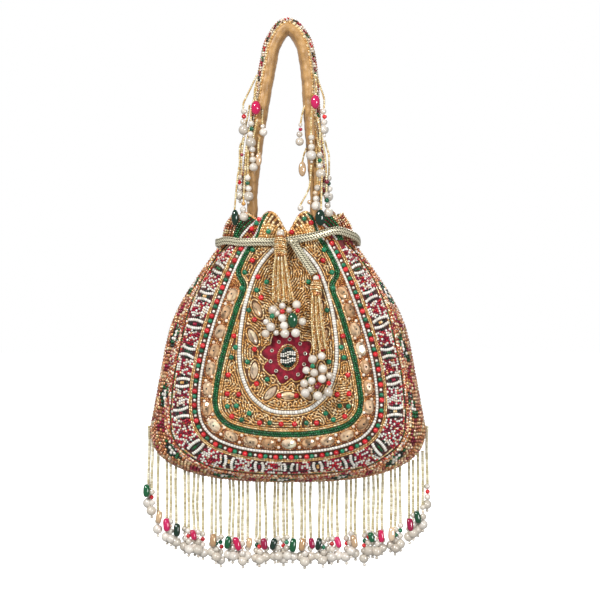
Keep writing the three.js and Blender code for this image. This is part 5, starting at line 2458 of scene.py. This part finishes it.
CENTRE_CLUSTER = (
    (-5.6, 62, 1, 3.5, Tint.PEARL), (1.6, 59, 2, 2.7, Tint.PEARL), (12.6, 57.6, 0, 3.4, Tint.PEARL),
    (1.6, 63.8, 3, 2.0, Tint.BALL_RED), (13.4, 62.6, 1, 2.0, Tint.BALL_RED), (-6.2, 67.2, 2, 2.1, Tint.BALL_GREEN),
    (1.6, 69, 3, 3.2, Tint.PEARL), (9.6, 70.5, 2, (4.0, 3.0, 6.0), Tint.EMERALD), (-7.2, 75.5, 1, 3.5, Tint.PEARL),
    (3.0, 75, 3, 3.2, Tint.PEARL), (17.0, 71, 0, 3.1, Tint.PEARL), (-11.2, 80.5, 0, 3.1, Tint.PEARL),
    (3.6, 81, 2, 3.5, Tint.PEARL), (11.8, 80.5, 2, 3.5, Tint.PEARL), (-2.2, 64.5, 0, 2.6, Tint.PEARL),
    (-3.0, 79.6, -1, 2.4, Tint.PEARL), (6.8, 62, 0, 2.5, Tint.PEARL), (-10.8, 71, -1, 2.5, Tint.PEARL),
)
SIDE_CLUSTER = (
    (-2.8, 64.0, 2, 3.4, Tint.PEARL), (4.2, 61.4, 1, 3.1, Tint.PEARL), (-2.8, 69.4, 3, 2.0, Tint.BALL_GREEN),
    (-7.6, 72.4, 1, 3.0, Tint.PEARL), (-1.6, 74.6, 3, 3.1, Tint.PEARL), (5.0, 71.2, 1, 3.4, Tint.PEARL),
    (-3.4, 80.8, 2, 3.0, Tint.PEARL), (4.4, 79.2, 2, 3.3, Tint.PEARL), (0.6, 85.4, 3, 2.1, Tint.MAROON),
    (-9.2, 82.4, 0, 3.2, Tint.PEARL), (-8.4, 90.0, 1, 3.5, Tint.PEARL), (1.2, 92.2, 2, 3.5, Tint.PEARL),
    (9.4, 89.2, 0, 3.5, Tint.PEARL), (9.6, 82.4, 0, 2.0, Tint.BALL_RED), (10.4, 76.4, -1, 2.9, Tint.PEARL),
    (-4.4, 86.8, -1, 2.4, Tint.PEARL),
)


def main() -> None:
    """Builds the bag in order, and reports each piece."""
    logging.basicConfig(level=logging.INFO, format="%(message)s")
    studio = Studio()
    studio.camera()
    pouch = Pouch()
    handle = Handle()
    Fringe(pouch).hang()
    handle_strings(handle)

    embroidery = Embroidery(pouch)
    embroidery.sew()
    flower = Flower(pouch)
    for side, back in (("front", False), ("back", True)):
        settle(pouch.panel(f"{side}_silk_ground", back, embroidery.cloth_tints), "bag", "embroidery", f"{side}_panel")
        for name, cloud in embroidery.clouds.items():
            settle((cloud.turned_round() if back else cloud).build(f"{side}_{name}"), "bag", "embroidery")
        settle(embroidery.stones(f"{side}_stones", back), "bag", "embroidery")
        settle(flower.velvet(f"{side}_velvet_flower", back), "bag", "velvet", f"flower_patch_{side}")
        settle(flower.trim(f"{side}_bead_button", back), "bag", "button", f"flower_button_{side}")
    settle(pouch.lining(), "bag", "lining", "lining")

    strap = handle.strap()
    settle(strap, "bag", "handle_satin", "handle_strap")
    settle(handle.band(), "bag", "pale_beads", "handle_bead_band")
    settle(handle.edge_lines(), "bag", "gold_beads")
    loose_strings(handle)

    drawstring = Drawstring()
    settle(drawstring.loop(), "bag", "braid", "drawstring_loop")
    settle(drawstring.knot(), "bag", "braid", "drawstring_knot")
    settle(drawstring.tail(), "bag", "braid", "drawstring_tail")

    tassels = (
        Tassel(
            "centre_tassel", pivot=(-5.6, -31, -160), lean=15, bead=3.1, head=(3.6, 18, 5), skirt=(54, 1.8, 9.6),
            strings=11, seed=61, cluster=CENTRE_CLUSTER
        ),
        Tassel(
            "side_tassel", pivot=(22, -37, -195), lean=11, bead=2.4, head=(2.9, 13, 4.4), skirt=(56, 3.2, 6.4),
            strings=8, seed=71, cluster=SIDE_CLUSTER
        ),
    )
    slots = ("pearl", "gold_beads", "gold_beads", "pearl")
    for tassel in tassels:
        for (piece, node), slot in zip(tassel.build(), slots):
            settle(piece, tassel.name, slot, node)

    studio.build()


if __name__ == "__main__":
    main()
